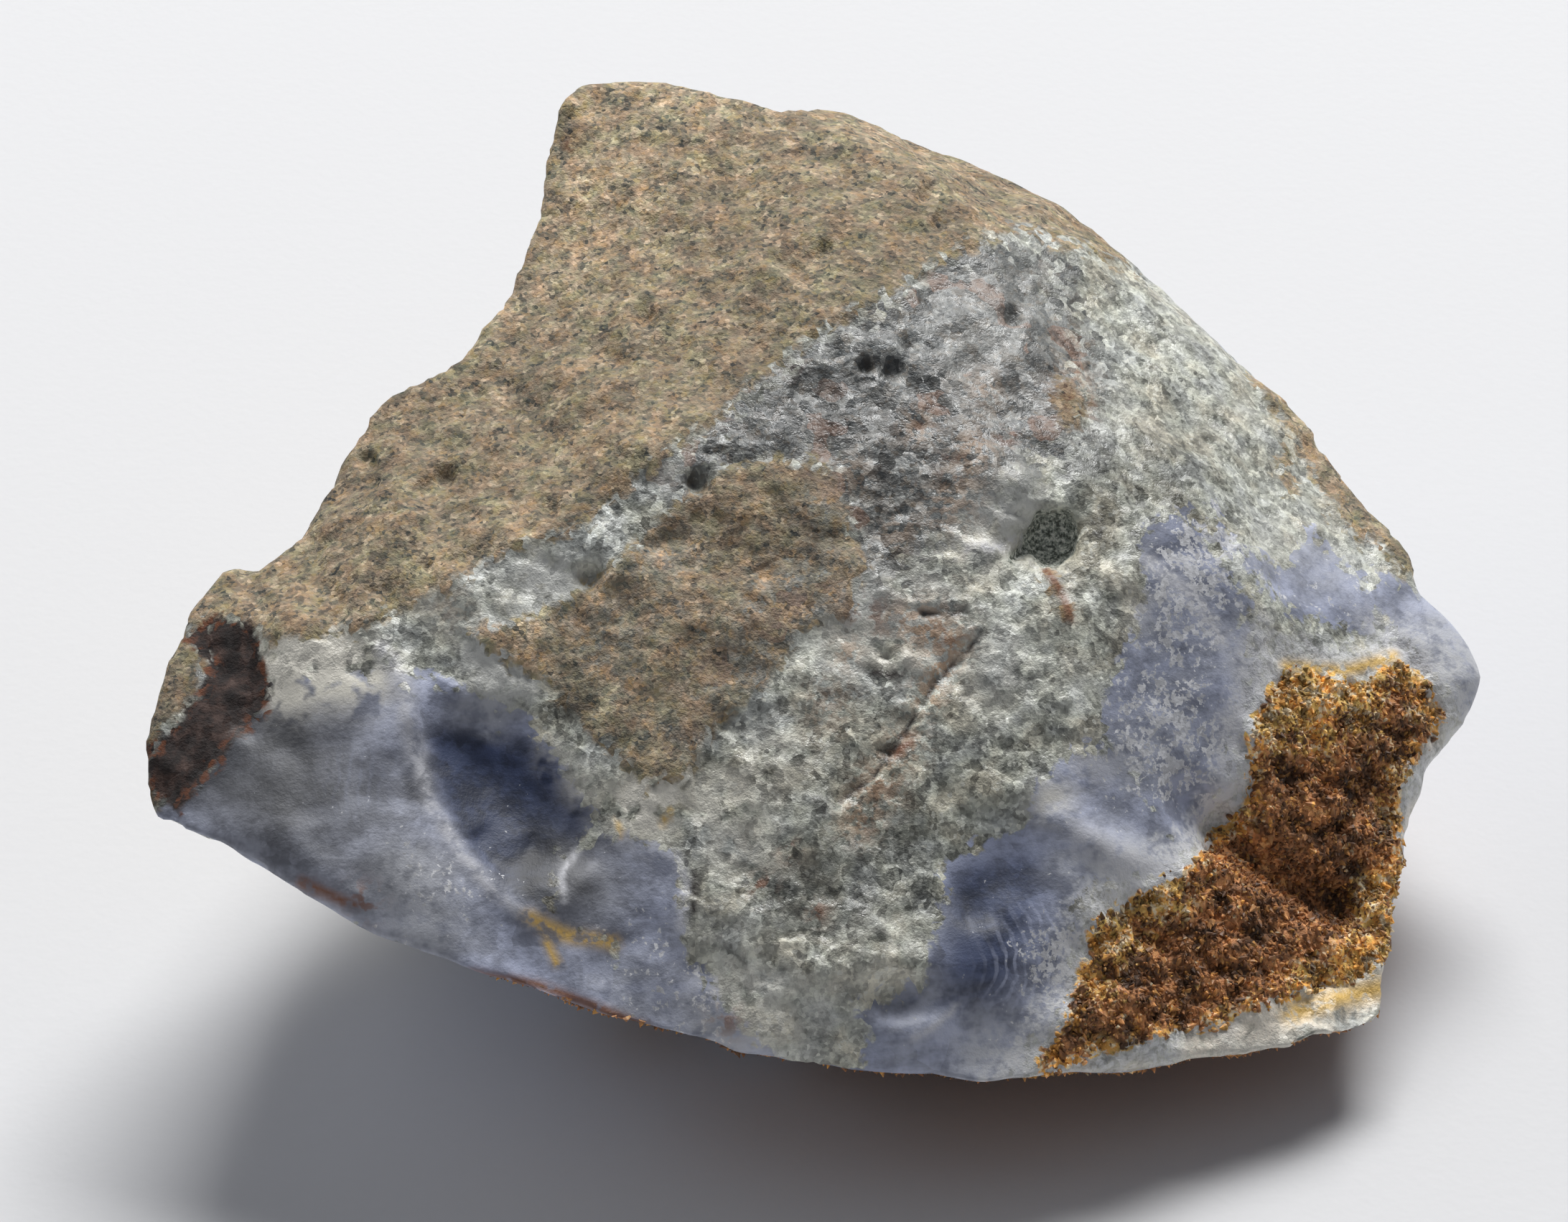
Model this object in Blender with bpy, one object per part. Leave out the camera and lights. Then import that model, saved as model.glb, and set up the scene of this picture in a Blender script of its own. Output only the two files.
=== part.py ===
"""A hand specimen of blue lace agate, broken out of its vein with host rock still on it. It is one stone.

The stone is modelled as it is seen from its best side and then stood up. In that view a point has three sizes in
millimetres: across, to the right of the middle; up, above the middle; and toward, how far it stands out of the
sight plane through the middle. Two sheets of facets, the seen one and the hidden one, meet along one outline.
The facets are split until their edges are short, then given hollows, steps and the relief of broken stone.
"""

import math

import bmesh
import bpy
from mathutils import Matrix, Vector, noise
from mathutils.geometry import delaunay_2d_cdt

MILLIMETRE = 0.001

# The view that the stone is measured in, and how it stands under it
VIEW_ELEVATION = math.radians(38)
EYE_DISTANCE = 450.0
MIDDLE_HEIGHT = 22.0
MIDDLE_TO_ORIGIN = (-3.09, -2.92)

# The outline, clockwise from the upper left shoulder: (across, up, toward)
TOP_EDGE = [(-15.4, 35.3, -15), (-14.0, 36.6, -17), (-9.6, 36.9, -17.5), (-4.6, 36.1, -16.5), (-0.1, 34.8, -16)]
FAR_LUMP = [(2.9, 35.1, -21), (7.9, 33.2, -23), (12.9, 31.0, -22.5), (17.9, 29.0, -21.5), (23.4, 25.0, -19)]
RIGHT_SHOULDER = [(28.7, 20.1, -16), (32.9, 16.1, -14.5), (36.9, 12.8, -13), (37.3, 11.4, -12.5), (40.4, 7.6, -10.5)]
RIGHT_WING = [(43.2, 4.6, -8.5), (44.2, 1.1, -6.5), (47.9, -2.5, -5), (48.8, -4.5, -4), (47.0, -8.5, -3)]
DRUSE_EDGE = [(44.9, -11.0, -1.5), (43.3, -15.5, 1), (42.7, -20.5, 4), (41.7, -26.0, 7.5), (41.9, -28.2, 9)]
LOW_RIGHT_EDGE = [(39.4, -29.5, 10.5), (37.0, -29.5, 12), (35.4, -30.6, 12.5), (28.4, -31.4, 15), (20.4, -32.2, 18)]
LOWEST_EDGE = [(14.4, -33.3, 19.5), (10.4, -32.4, 19.5), (1.9, -31.6, 20), (-5.6, -30.1, 20.5)]
LOW_LEFT_EDGE = [(-13.1, -28.2, 21.5), (-19.6, -25.8, 22), (-27.1, -23.2, 21.5), (-32.1, -20.5, 20.5)]
LEFT_TIP = [(-34.6, -19.0, 20), (-39.6, -16.2, 18.5), (-44.1, -14.5, 17), (-44.6, -11.0, 15.5), (-43.8, -6.2, 13)]
LEFT_KNOB = [(-42.4, -2.5, 10.5), (-40.3, 1.3, 8), (-39.0, 2.7, 6.5), (-37.5, 3.0, 5.5), (-36.6, 2.6, 6.5)]
LEFT_EDGE = [(-33.4, 5.2, 4.5), (-30.6, 10.1, 1.5), (-28.5, 14.0, -1), (-25.1, 16.0, -2), (-22.5, 17.2, -3)]
TOP_LEFT_EDGE = [(-19.5, 21.1, -6), (-17.1, 27.6, -11), (-16.1, 33.1, -14.5)]
OUTLINE = (
    TOP_EDGE + FAR_LUMP + RIGHT_SHOULDER + RIGHT_WING + DRUSE_EDGE + LOW_RIGHT_EDGE
    + LOWEST_EDGE + LOW_LEFT_EDGE + LEFT_TIP + LEFT_KNOB + LEFT_EDGE + TOP_LEFT_EDGE
)

# Ridges and creases of the seen side, each a chain of corners
CREST = [(7.4, 32.6, -13), (10.4, 30.6, -11), (12.7, 28.8, -9), (14.0, 26.1, -6.5)]
FAR_CREASE = [(9.9, 31.5, -19), (12.9, 29.5, -17.5), (15.4, 27.6, -13)]
HOST_ROCK_CONTACT = [
    (14.0, 26.1, -6.5), (7.9, 22.1, -2), (1.4, 18.1, 1.5), (-4.6, 14.1, 5), (-10.6, 10.1, 8),
    (-16.6, 5.8, 11), (-22.6, 2.1, 12.5), (-26.6, -0.5, 13.5), (-30.6, -1.7, 14), (-34.6, -1.5, 14),
]
RIGHT_RIDGE = [
    (14.0, 26.1, -6.5), (16.9, 20.1, -2.5), (19.9, 14.1, 2), (21.2, 8.1, 6.5), (21.9, 2.6, 9),
    (20.4, -5.0, 12), (19.9, -12.5, 14),
]
PALE_RIDGE = [(14.0, 26.1, -6.5), (18.4, 26.2, -10.5), (23.4, 22.8, -10.5), (28.4, 18.6, -10), (32.9, 12.6, -8)]
LIP_OF_EYE = [(-27.6, -5.5, 15.5), (-25.4, -11.5, 18), (-22.1, -17.0, 19.5), (-16.6, -20.7, 20)]
WHITE_RIB = [(15.4, -15.7, 14.5), (22.4, -17.5, 15), (27.4, -16.5, 11.5), (29.9, -14.0, 8.5)]
CHAINS = [CREST, FAR_CREASE, HOST_ROCK_CONTACT, RIGHT_RIDGE, PALE_RIDGE, LIP_OF_EYE, WHITE_RIB]

# Single corners of the seen side, between the ridges
HOST_ROCK_FACE = [(-8.0, 27.0, -9.5), (-18.0, 12.0, 3), (-28.0, 6.0, 7.5), (-37.5, -1.0, 11)]
MIDDLE_FACE = [(0.9, 10.6, 7), (5.4, 3.1, 10.5), (-1.6, -2.5, 13), (-7.6, -13.0, 16.5), (10.4, 14.6, 3), (15.4, 9.6, 7)]
CRACKED_FACE = [(13.9, -1.0, 11.5), (7.9, -8.0, 14), (3.9, -14.0, 16.5), (11.9, -13.5, 15)]
LOW_FACE = [(-4.6, -20.0, 18.5), (1.4, -25.0, 20.5), (5.9, -25.7, 20.7), (10.9, -18.0, 16), (17.9, -24.0, 17)]
LEFT_FACE = [(-35.6, -6.5, 15.5), (-33.6, -12.0, 18), (-40.1, -7.5, 14.5), (-29.6, -17.5, 20.5), (-23.6, -22.0, 21.5)]
EYE_RIM = [(-22.1, -3.5, 13.5), (-15.1, -8.0, 14.5), (-12.1, -13.5, 16.5), (-19.6, -1.0, 13.5)]
RIGHT_FACE = [(27.4, 9.1, 2), (31.4, 3.1, 4), (35.4, 0.1, 2), (40.4, 0.5, -2.5), (24.4, -7.5, 11), (30.4, -6.5, 7.5)]
DRUSE_FACE = [(35.4, -4.5, 3.5), (43.0, -5.0, -1), (36.9, -11.5, 4.5), (40.9, -13.0, 2), (30.4, -22.5, 11.5), (37.9, -25.5, 9)]
SEEN_CORNERS = (
    HOST_ROCK_FACE + MIDDLE_FACE + CRACKED_FACE + LOW_FACE + LEFT_FACE + EYE_RIM + RIGHT_FACE + DRUSE_FACE
)

# Corners of the hidden side, as the stone stands: (right, back, height)
FLANK = [
    (-28, -15, 9), (-36, -4, 12), (-27, 10, 14), (-18, 25, 16), (0, 33, 14), (18, 31, 12),
    (33, 18, 9), (42, 3, 7), (36, -15, 3.5), (14, -27, 4.5), (-6, -27, 8),
]
RESTING_FACET = [
    (-14, -9, -1.6), (1, -15, -1.6), (16, -12, -1.6), (21, 2, -1.6), (14, 14, -1.6), (-3, 18, -1.6), (-16, 8, -1.6),
]

# The stone's edge, behind its outline
EDGE_INSET = 0.7
EDGE_THICKNESS = 3.0

# Hollows of the seen side: (across, up), (half length, half width), turn from the horizontal in degrees, depth
EYE_HOLLOW = ((-19.4, -12.3), (8.6, 5.4), -50, 2.8)
DARK_VUG = ((17.9, 5.2), (3.2, 2.4), 25, 2.4)
UNDERCUT = ((7.4, -27.2), (3.6, 1.9), -10, 1.7)
HOLLOWS = [EYE_HOLLOW, DARK_VUG, UNDERCUT]
BOWL_STEEPNESS = 1.3

# Grooves of the seen side: a path of (across, up), half width, depth
CRACK = ([(14.2, -1.2), (10.6, -4.9), (6.9, -9.6), (4.0, -13.3)], 0.9, 0.4)
DRUSE_CREASE = ([(28.0, -13.2), (31.4, -16.5), (35.4, -19.0), (38.9, -21.0)], 2.2, 1.6)
GROOVES = [CRACK, DRUSE_CREASE]

# The lumpy crystal crust at the lower right, as an outline of (across, up)
DRUSE = [
    (17.5, -32.5), (20.5, -29.5), (21.2, -24.5), (23.4, -20.0), (29.4, -17.2), (32.6, -12.0),
    (32.5, -7.5), (35.0, -4.0), (41.4, -4.2), (43.2, -2.0), (45.9, -5.5), (45.5, -8.0),
    (42.9, -12.0), (43.0, -18.2), (41.7, -26.0), (41.5, -28.5), (35.4, -28.5), (27.2, -29.5), (24.9, -31.4),
]
LUMP_SIZE = 2.1
LUMP_HEIGHT = 0.75
LUMP_TOP = 0.6
PIT_DEPTH = 1.6
KNOBBLE_SIZE, KNOBBLE_HEIGHT = 1.05, 0.35

# Relief of the broken stone: how wide and how high
WAVE_SIZE, WAVE_HEIGHT = 15.0, 0.8
CHIP_SIZE, CHIP_HEIGHT = 5.5, 0.5
BREAK_SIZE, BREAK_HEIGHT = 11.0, 0.9
RAGGED_SIZE, RAGGED_HEIGHT = 3.0, 0.22
WAVE_ROUGHNESS, WAVE_GAIN, WAVE_LAYERS = 1.0, 2.0, 3
CELL_SPREAD = 7.3
OUTLINE_RELIEF = 0.3

# The longest edge of a facet: on the seen side, in and near its hollows and cracks, and on the hidden side
SEEN_EDGE = 2.8
FINE_EDGE = 2.0
HIDDEN_EDGE = 4.2
SEEN_SLOPE = 0.05
NEAR_HOLLOW = 1.1
NEAR_CRACK = 2.0
SPLITTING_STEPS = 6
FLAT_ANGLE = math.radians(2)
ROUNDING_STEPS = 2
ROUNDING_SHARE = 0.25
SHARP_ANGLE = math.radians(50)

STONE_COLOUR = (0.36, 0.34, 0.33, 1.0)
STONE_ROUGHNESS = 0.6


def clear_scene():
    for obj in list(bpy.data.objects):
        bpy.data.objects.remove(obj)


def stood_up(point):
    """A point of the view, (across, up, toward), as the stone stands: (right, back, height)."""
    across, up, toward = point
    nearer = 1 - toward / EYE_DISTANCE
    sin_e, cos_e = math.sin(VIEW_ELEVATION), math.cos(VIEW_ELEVATION)
    back = up * nearer * sin_e - toward * cos_e
    height = up * nearer * cos_e + toward * sin_e + MIDDLE_HEIGHT
    return Vector((across * nearer, back, height))


def as_seen(point):
    """The opposite of stood_up."""
    right, back, height = point
    sin_e, cos_e = math.sin(VIEW_ELEVATION), math.cos(VIEW_ELEVATION)
    toward = (height - MIDDLE_HEIGHT) * sin_e - back * cos_e
    nearer = 1 - toward / EYE_DISTANCE
    up = back * sin_e + (height - MIDDLE_HEIGHT) * cos_e
    return Vector((right / nearer, up / nearer, toward))


def inner_loop(bm, rim):
    """A loop behind the outline and a little inside it, joined to it by a strip of facets, as the stone's edge."""
    loop = []
    for before, here, after in zip(rim[-1:] + rim[:-1], rim, rim[1:] + rim[:1]):
        way = (after.co - here.co).xy.normalized() + (here.co - before.co).xy.normalized()
        inward = Vector((way.y, -way.x)).normalized() * EDGE_INSET
        loop.append(bm.verts.new(here.co + Vector((inward.x, inward.y, -EDGE_THICKNESS))))
    for i in range(len(rim)):
        bm.faces.new((rim[i - 1], rim[i], loop[i], loop[i - 1]))
    return loop


def add_sheet(bm, rim, chains, corners):
    """Facets inside a loop, through every chain and corner. The chains' corners stay joined by edges."""
    points = {tuple(vert.co): vert for vert in rim}
    edges = list(zip(rim, rim[1:] + rim[:1]))
    for chain in chains:
        verts = []
        for corner in chain:
            key = tuple(Vector(corner))
            if key not in points:
                points[key] = bm.verts.new(corner)
            verts.append(points[key])
        edges += zip(verts, verts[1:])
    verts = list(points.values()) + [bm.verts.new(corner) for corner in corners]
    index = {vert: i for i, vert in enumerate(verts)}
    joined = [(index[a], index[b]) for a, b in edges]
    found = delaunay_2d_cdt([vert.co.xy for vert in verts], joined, [], 0, 1e-6, True)
    triangles, origins = found[2], found[3]
    outline = [tuple(vert.co.xy) for vert in rim]
    for triangle in triangles:
        corners = [verts[origins[i][0]] for i in triangle]
        middle = sum((vert.co for vert in corners), Vector()) / 3
        if in_outline(middle, outline):
            bm.faces.new(corners)


def in_outline(point, outline):
    """True if (across, up) lies inside a closed outline."""
    inside = False
    for (x0, y0), (x1, y1) in zip(outline, outline[1:] + outline[:1]):
        if (y0 > point[1]) != (y1 > point[1]):
            inside ^= point[0] < x0 + (point[1] - y0) * (x1 - x0) / (y1 - y0)
    return inside


def is_seen(vert):
    """True on the side that faces the view."""
    return vert.normal.z > SEEN_SLOPE


def is_on_outline(vert):
    return any(face.normal.z > 0 for face in vert.link_faces) and any(face.normal.z < 0 for face in vert.link_faces)


def hollow_share(point, hollow):
    """0 in the middle of a hollow, 1 on its edge, more outside."""
    middle, halves, turn, _ = hollow
    away = Matrix.Rotation(math.radians(-turn), 2) @ (Vector(point[:2]) - Vector(middle))
    return math.hypot(away.x / halves[0], away.y / halves[1])


def distance_to_path(point, path):
    """The distance from (across, up) to a path of straight stretches."""
    here, nearest = Vector(point[:2]), math.inf
    for start, end in zip(path, path[1:]):
        start, along = Vector(start), Vector(end) - Vector(start)
        share = min(max((here - start).dot(along) / along.length_squared, 0), 1)
        nearest = min(nearest, (here - start - share * along).length)
    return nearest


def longest_edge(edge):
    """How long an edge may stay, by where it lies."""
    if not all(is_seen(vert) for vert in edge.verts):
        return HIDDEN_EDGE
    middle = (edge.verts[0].co + edge.verts[1].co) / 2
    in_hollow = any(hollow_share(middle, hollow) < NEAR_HOLLOW for hollow in HOLLOWS)
    in_groove = distance_to_path(middle, CRACK[0]) < NEAR_CRACK * CRACK[1]
    return FINE_EDGE if in_hollow or in_groove or in_outline(middle, DRUSE) else SEEN_EDGE


def split_long_edges(bm):
    """Halves the edges that are too long, and turns diagonals on flat ground so that no facet is a sliver."""
    for _ in range(SPLITTING_STEPS):
        bm.normal_update()
        too_long = [edge for edge in bm.edges if edge.calc_length() > longest_edge(edge)]
        bmesh.ops.subdivide_edges(bm, edges=too_long, cuts=1)
        bmesh.ops.triangulate(bm, faces=[face for face in bm.faces if len(face.verts) > 3])
        level = [edge for edge in bm.edges if edge.calc_face_angle(math.pi) < FLAT_ANGLE]
        bmesh.ops.beautify_fill(bm, faces=bm.faces[:], edges=level, method="ANGLE")


def round_ridges(bm):
    """Takes the sharpness off every ridge but the outline, which turns from the seen side to the hidden one."""
    inner = [vert for vert in bm.verts if not is_on_outline(vert)]
    for _ in range(ROUNDING_STEPS):
        bmesh.ops.smooth_vert(
            bm, verts=inner, factor=ROUNDING_SHARE, use_axis_x=True, use_axis_y=True, use_axis_z=True
        )


def bowl(share):
    """The depth of a hollow with a soft rim and a rounded floor, as a share of its full depth."""
    return max(0.0, 1 - share**2) ** BOWL_STEEPNESS


def cut_hollows(bm):
    for vert in [vert for vert in bm.verts if is_seen(vert)]:
        deepest = max(hollow[3] * bowl(hollow_share(vert.co, hollow)) for hollow in HOLLOWS)
        for path, half_width, depth in GROOVES:
            away = distance_to_path(vert.co, path) / half_width
            deepest = max(deepest, depth * max(0.0, 1 - away))
        vert.co.z -= deepest


def chip(point, size):
    """Tilted planes in cells, which meet in small steps, as stone breaks."""
    _, cells = noise.voronoi(point / size)
    return (point / size - cells[0]).dot(noise.cell_vector(cells[0] * CELL_SPREAD))


def lump(point, size):
    """Rounded knobs with narrow pits between them."""
    distances, _ = noise.voronoi(point / size)
    return LUMP_TOP - PIT_DEPTH * distances[0] ** 2 + KNOBBLE_HEIGHT * noise.noise(point / KNOBBLE_SIZE)


def add_relief(bm):
    """Moves each vertex along its normal by the relief of the stone at that place, less so on the outline."""
    bm.normal_update()
    moves = {}
    for vert in bm.verts:
        here = vert.co.copy()
        if not is_seen(vert):
            height = BREAK_HEIGHT * chip(here, BREAK_SIZE) + RAGGED_HEIGHT * noise.noise(here / RAGGED_SIZE)
        elif in_outline(here, DRUSE):
            height = LUMP_HEIGHT * lump(here, LUMP_SIZE)
        else:
            height = CHIP_HEIGHT * chip(here, CHIP_SIZE)
            height += RAGGED_HEIGHT * noise.noise(here / RAGGED_SIZE)
        height += WAVE_HEIGHT * noise.fractal(here / WAVE_SIZE, WAVE_ROUGHNESS, WAVE_GAIN, WAVE_LAYERS)
        moves[vert] = vert.normal * height * (OUTLINE_RELIEF if is_on_outline(vert) else 1.0)
    for vert, move in moves.items():
        vert.co += move


def stand_up(bm):
    """Turns the view into the standing stone, flat where it rests, in metres."""
    for vert in bm.verts:
        right, back, height = stood_up(vert.co)
        vert.co = Vector((right + MIDDLE_TO_ORIGIN[0], back + MIDDLE_TO_ORIGIN[1], max(height, 0.0))) * MILLIMETRE


def stone_material():
    material = bpy.data.materials.new("agate_and_host_rock")
    material.use_nodes = True
    shader = material.node_tree.nodes["Principled BSDF"]
    shader.inputs["Base Color"].default_value = STONE_COLOUR
    shader.inputs["Roughness"].default_value = STONE_ROUGHNESS
    shader.inputs["Metallic"].default_value = 0.0
    return material


def build_stone():
    bm = bmesh.new()
    rim = [bm.verts.new(corner) for corner in OUTLINE]
    add_sheet(bm, rim, CHAINS, SEEN_CORNERS)
    resting_loop = [as_seen(corner) for corner in RESTING_FACET]
    behind = inner_loop(bm, rim)
    add_sheet(bm, behind, [resting_loop + resting_loop[:1]], [as_seen(corner) for corner in FLANK])
    bmesh.ops.triangulate(bm, faces=[face for face in bm.faces if len(face.verts) > 3])
    bmesh.ops.recalc_face_normals(bm, faces=bm.faces[:])
    split_long_edges(bm)
    round_ridges(bm)
    bm.normal_update()
    cut_hollows(bm)
    add_relief(bm)
    stand_up(bm)
    bmesh.ops.triangulate(bm, faces=bm.faces[:])
    mesh = bpy.data.meshes.new("agate_stone")
    bm.to_mesh(mesh)
    bm.free()
    mesh.materials.append(stone_material())
    mesh.shade_smooth()
    mesh.set_sharp_from_angle(angle=SHARP_ANGLE)
    stone = bpy.data.objects.new("agate_stone", mesh)
    bpy.context.scene.collection.objects.link(stone)
    return stone


clear_scene()
build_stone()
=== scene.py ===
"""The looks of a hand specimen of blue lace agate: broken surface, zones of stone and crystal crust.

The zones are laid out as they are seen from the stone's best side. A point of that sight plane has two sizes
in millimetres, across to the right of the middle and up above it. Each vertex of the stone is looked up
there, and carries how deep it lies in each zone as an attribute, which the material reads. The hidden side
continues the zones as layers of the vein.
"""

import collections
import math
import random

import bmesh
import bpy
import numpy as np
from mathutils import Matrix, Vector, noise


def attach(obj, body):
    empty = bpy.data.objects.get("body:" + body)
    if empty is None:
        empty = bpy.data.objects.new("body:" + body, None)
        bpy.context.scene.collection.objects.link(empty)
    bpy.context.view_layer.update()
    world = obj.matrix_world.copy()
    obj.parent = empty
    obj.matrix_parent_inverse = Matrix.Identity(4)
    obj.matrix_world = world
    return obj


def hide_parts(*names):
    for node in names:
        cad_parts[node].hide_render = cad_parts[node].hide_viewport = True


bl_info = {
    "name": "Blue Lace Agate Specimen",
    "version": (1, 0, 0),
    "blender": (4, 5, 0),
    "location": "View3D > Sidebar > Agate",
    "description": "Dresses the rough agate specimen and sets its stage",
    "category": "Add Mesh",
}

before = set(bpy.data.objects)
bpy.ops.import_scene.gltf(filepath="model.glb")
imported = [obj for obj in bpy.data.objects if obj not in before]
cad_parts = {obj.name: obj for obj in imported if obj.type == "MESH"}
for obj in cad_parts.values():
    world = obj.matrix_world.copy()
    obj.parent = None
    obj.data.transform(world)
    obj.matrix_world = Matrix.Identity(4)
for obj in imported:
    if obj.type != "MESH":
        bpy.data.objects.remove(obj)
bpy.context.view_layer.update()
STONE_NODE = "agate_stone"
MILLIMETRE = 0.001

# The view that the stone was measured in, in millimetres. The frame is this wide at the stone's middle.
VIEW_ELEVATION = math.radians(38)
EYE_DISTANCE = 450.0
FRAME_WIDTH = 109.2
SIGHT_MIDDLE = Vector((-3.09, -2.92, 22.0))
TOWARD = Vector((0, -math.cos(VIEW_ELEVATION), math.sin(VIEW_ELEVATION)))
UPWARD = Vector((0, math.sin(VIEW_ELEVATION), math.cos(VIEW_ELEVATION)))

# Brown host rock: the whole top face, a wedge left in the quartz, chips of it, and the far edge
HOST_TOP = [
    (13.7, 25.8), (10.4, 24), (5.4, 21.1), (1.8, 18.8), (-3.2, 15), (-6.1, 12.3), (-9.6, 9.8), (-14.6, 5.3),
    (-17.1, 4.8), (-20.1, 3.6), (-24.6, 0.8), (-30.1, -1.4), (-35.7, -2.1), (-37.4, -0.9), (-39.6, -0.5),
    (-42.8, -2.2), (-50, -2.5), (-50, 45.7), (20.4, 45.7), (24.3, 23.6), (20.4, 25.3), (16.4, 26.6),
]
HOST_WEDGE = [
    (-22.1, -1.7), (-16.6, 0), (-12.1, 3), (-9.6, 5.5), (-4.6, 9.8), (-0.7, 10.5), (2.9, 10.3), (4.3, 6.5),
    (5.7, 3), (4.9, 0), (1.4, -1.4), (-2.6, -6.4), (-4.6, -7.5), (-6.6, -11.4), (-9.6, -12.5), (-11.6, -10),
    (-14.6, -7.5), (-16.6, -5),
]
HOST_CHIP_UPPER = [(18.9, 16.3), (20.4, 15.5), (20.9, 14.6), (20.4, 12.9), (19.3, 13), (18.5, 14.6)]
HOST_CHIP_LOWER = [(18.2, 2.8), (19.1, 2.1), (20, 0), (19.8, -0.8), (18.8, 0.4), (18.2, 1.8)]
HOST_CHIP_RIGHT = [(34.9, 12.1), (35.7, 10.5), (35.4, 8), (34.7, 8.6), (34.5, 10.5)]
HOST_FAR_EDGE = [
    (32.6, 16.5), (37, 16.3), (43.5, 8.7), (46.7, 4.3), (45.4, 2.5), (43.2, 2.5), (40.7, 4.6), (38.4, 6.5),
    (37.4, 8), (35.4, 12.5), (33.4, 14.6),
]
HOST_LEFT_EDGE = [
    (-41.8, -1.9), (-43.9, -2.9), (-47, -7), (-47, -15), (-43.3, -13.8), (-44.9, -10.7), (-43.9, -9.5),
    (-40.8, -5.7), (-39.9, -3.6),
]
HOST_ZONES = [
    HOST_LEFT_EDGE, HOST_TOP, HOST_WEDGE, HOST_CHIP_UPPER, HOST_CHIP_LOWER, HOST_CHIP_RIGHT, HOST_FAR_EDGE,
]

# Milky blue chalcedony
BLUE_LEFT = [
    (-38.1, -7.5), (-35.6, -5.2), (-33.1, -4.5), (-29.6, -4.5), (-27.1, -4.4), (-24.6, -6), (-23.4, -9.5),
    (-22.4, -12.5), (-21.2, -15.2), (-19.6, -17.6), (-17.6, -19.6), (-15.4, -21), (-12.1, -22.4),
    (-11.1, -25), (-9.6, -30), (-14.6, -29), (-22.6, -26), (-33.6, -21), (-39.6, -17.4), (-44.9, -15),
    (-43.9, -13.7), (-42.1, -12.5), (-40.1, -11),
]
BLUE_EYE = [
    (-25.4, -8.4), (-24, -7.6), (-22.1, -7.6), (-19.6, -7.9), (-17.6, -8.3), (-15.9, -9.8), (-14.6, -12),
    (-13.1, -14), (-13.6, -16), (-15.6, -17.2), (-15.9, -19.5), (-17.6, -20.7), (-20.1, -19.5),
    (-22.1, -17.4), (-23.9, -14.5), (-24.9, -11.5), (-25.4, -9),
]
BLUE_EYE_TOP = [
    (-26.8, -4.2), (-24.6, -4.4), (-22.1, -5.6), (-19.6, -6.7), (-17.8, -7.6), (-18.6, -9), (-25.4, -9),
]
BLUE_LOW = [
    (-15.9, -19.5), (-15.1, -16.9), (-13.1, -15.7), (-9.6, -15.7), (-7.4, -16.9), (-7.1, -21.5),
    (-6.4, -24), (-4.6, -26.5), (-2.6, -29), (0.9, -32), (-4.6, -33), (-10.6, -29.5), (-12.1, -27.5),
    (-12.1, -23.2), (-16.6, -22),
]
BLUE_FRONT = [
    (11.4, -17.5), (15.4, -15.4), (19.9, -15.4), (21.6, -18.2), (20.4, -20.4), (19.9, -27.5), (17.4, -30),
    (14.3, -35.9), (5.9, -35.9), (5.4, -27.5), (9.9, -26), (10.4, -22.5),
]
BLUE_RIGHT = [
    (24.7, 5.2), (26.4, 6.5), (27.6, 7.5), (29.9, 4.6), (32.4, 0.5), (32.5, -5.4), (30.6, -12.5),
    (28.4, -16.8), (26, -15.5), (24.7, -12), (22.8, -9.8), (22, -7.1), (23.1, -4), (24.7, -0.5),
    (25.1, 2.3),
]
BLUE_BETWEEN = [
    (16.9, -15), (17.6, -12.4), (20, -9.4), (22.6, -9.4), (25, -12), (28.6, -16.8), (24.5, -19.2),
    (20.4, -18.6), (17, -17.4),
]
BLUE_UPPER_RIGHT = [
    (29.9, 7.5), (31.4, 4.6), (34.9, 3), (36.8, 5.5), (40.4, 2.5), (41.2, 0), (40.7, -1.7), (37.9, -1),
    (34.9, 0), (32.9, 2.5), (30.4, 4.6),
]
BLUE_WING = [
    (41.2, 3), (43.9, 1.6), (48.4, 0.5), (54.3, -4.2), (51.1, -9.8), (47.8, -8.7), (46.4, -5.4),
    (44.3, -3.5), (42.4, -1.4), (41.2, 0),
]
# The clear, dark part of the front, and how dark it is
DEEP_FRONT = [
    (10.9, -18.5), (12.6, -16.6), (16.5, -15.7), (19, -16.4), (18.8, -19.5), (17.6, -24), (16.4, -27.5),
    (14.5, -29), (10, -28.5), (9.7, -26), (10.2, -22.5),
]
FRONT_DEPTH = 0.9
BLUE_ZONES = [
    BLUE_LEFT, BLUE_EYE, BLUE_EYE_TOP, BLUE_LOW, BLUE_FRONT, BLUE_RIGHT, BLUE_BETWEEN, BLUE_UPPER_RIGHT,
    BLUE_WING,
]

# The rusty crust of tiny crystals
CRUST = [
    (35.4, -4), (40.4, -5), (42.9, -3.4), (45.2, -5.6), (45.8, -7.5), (43.4, -11.2), (42.6, -12.9),
    (43.2, -17), (42.4, -24.4), (39, -25.8), (35.1, -26.9), (29.7, -29), (26.6, -29.4), (20.8, -31.2),
    (17.6, -32.6), (16.2, -33.8), (19.2, -29.5), (21, -24.3), (21.6, -21.6), (25.4, -19.5), (29.9, -16.4),
    (30.4, -15), (32.4, -13.5), (32.6, -7.5), (33.9, -5.4),
]
DARK_VUG = [
    (15.5, 3.9), (16.9, 5.3), (17.7, 6.8), (19.8, 7.1), (20.5, 5.4), (20.2, 4.1), (19.3, 3.3), (18.1, 3.1),
    (17.3, 3.9), (16.2, 3.3),
]

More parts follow.
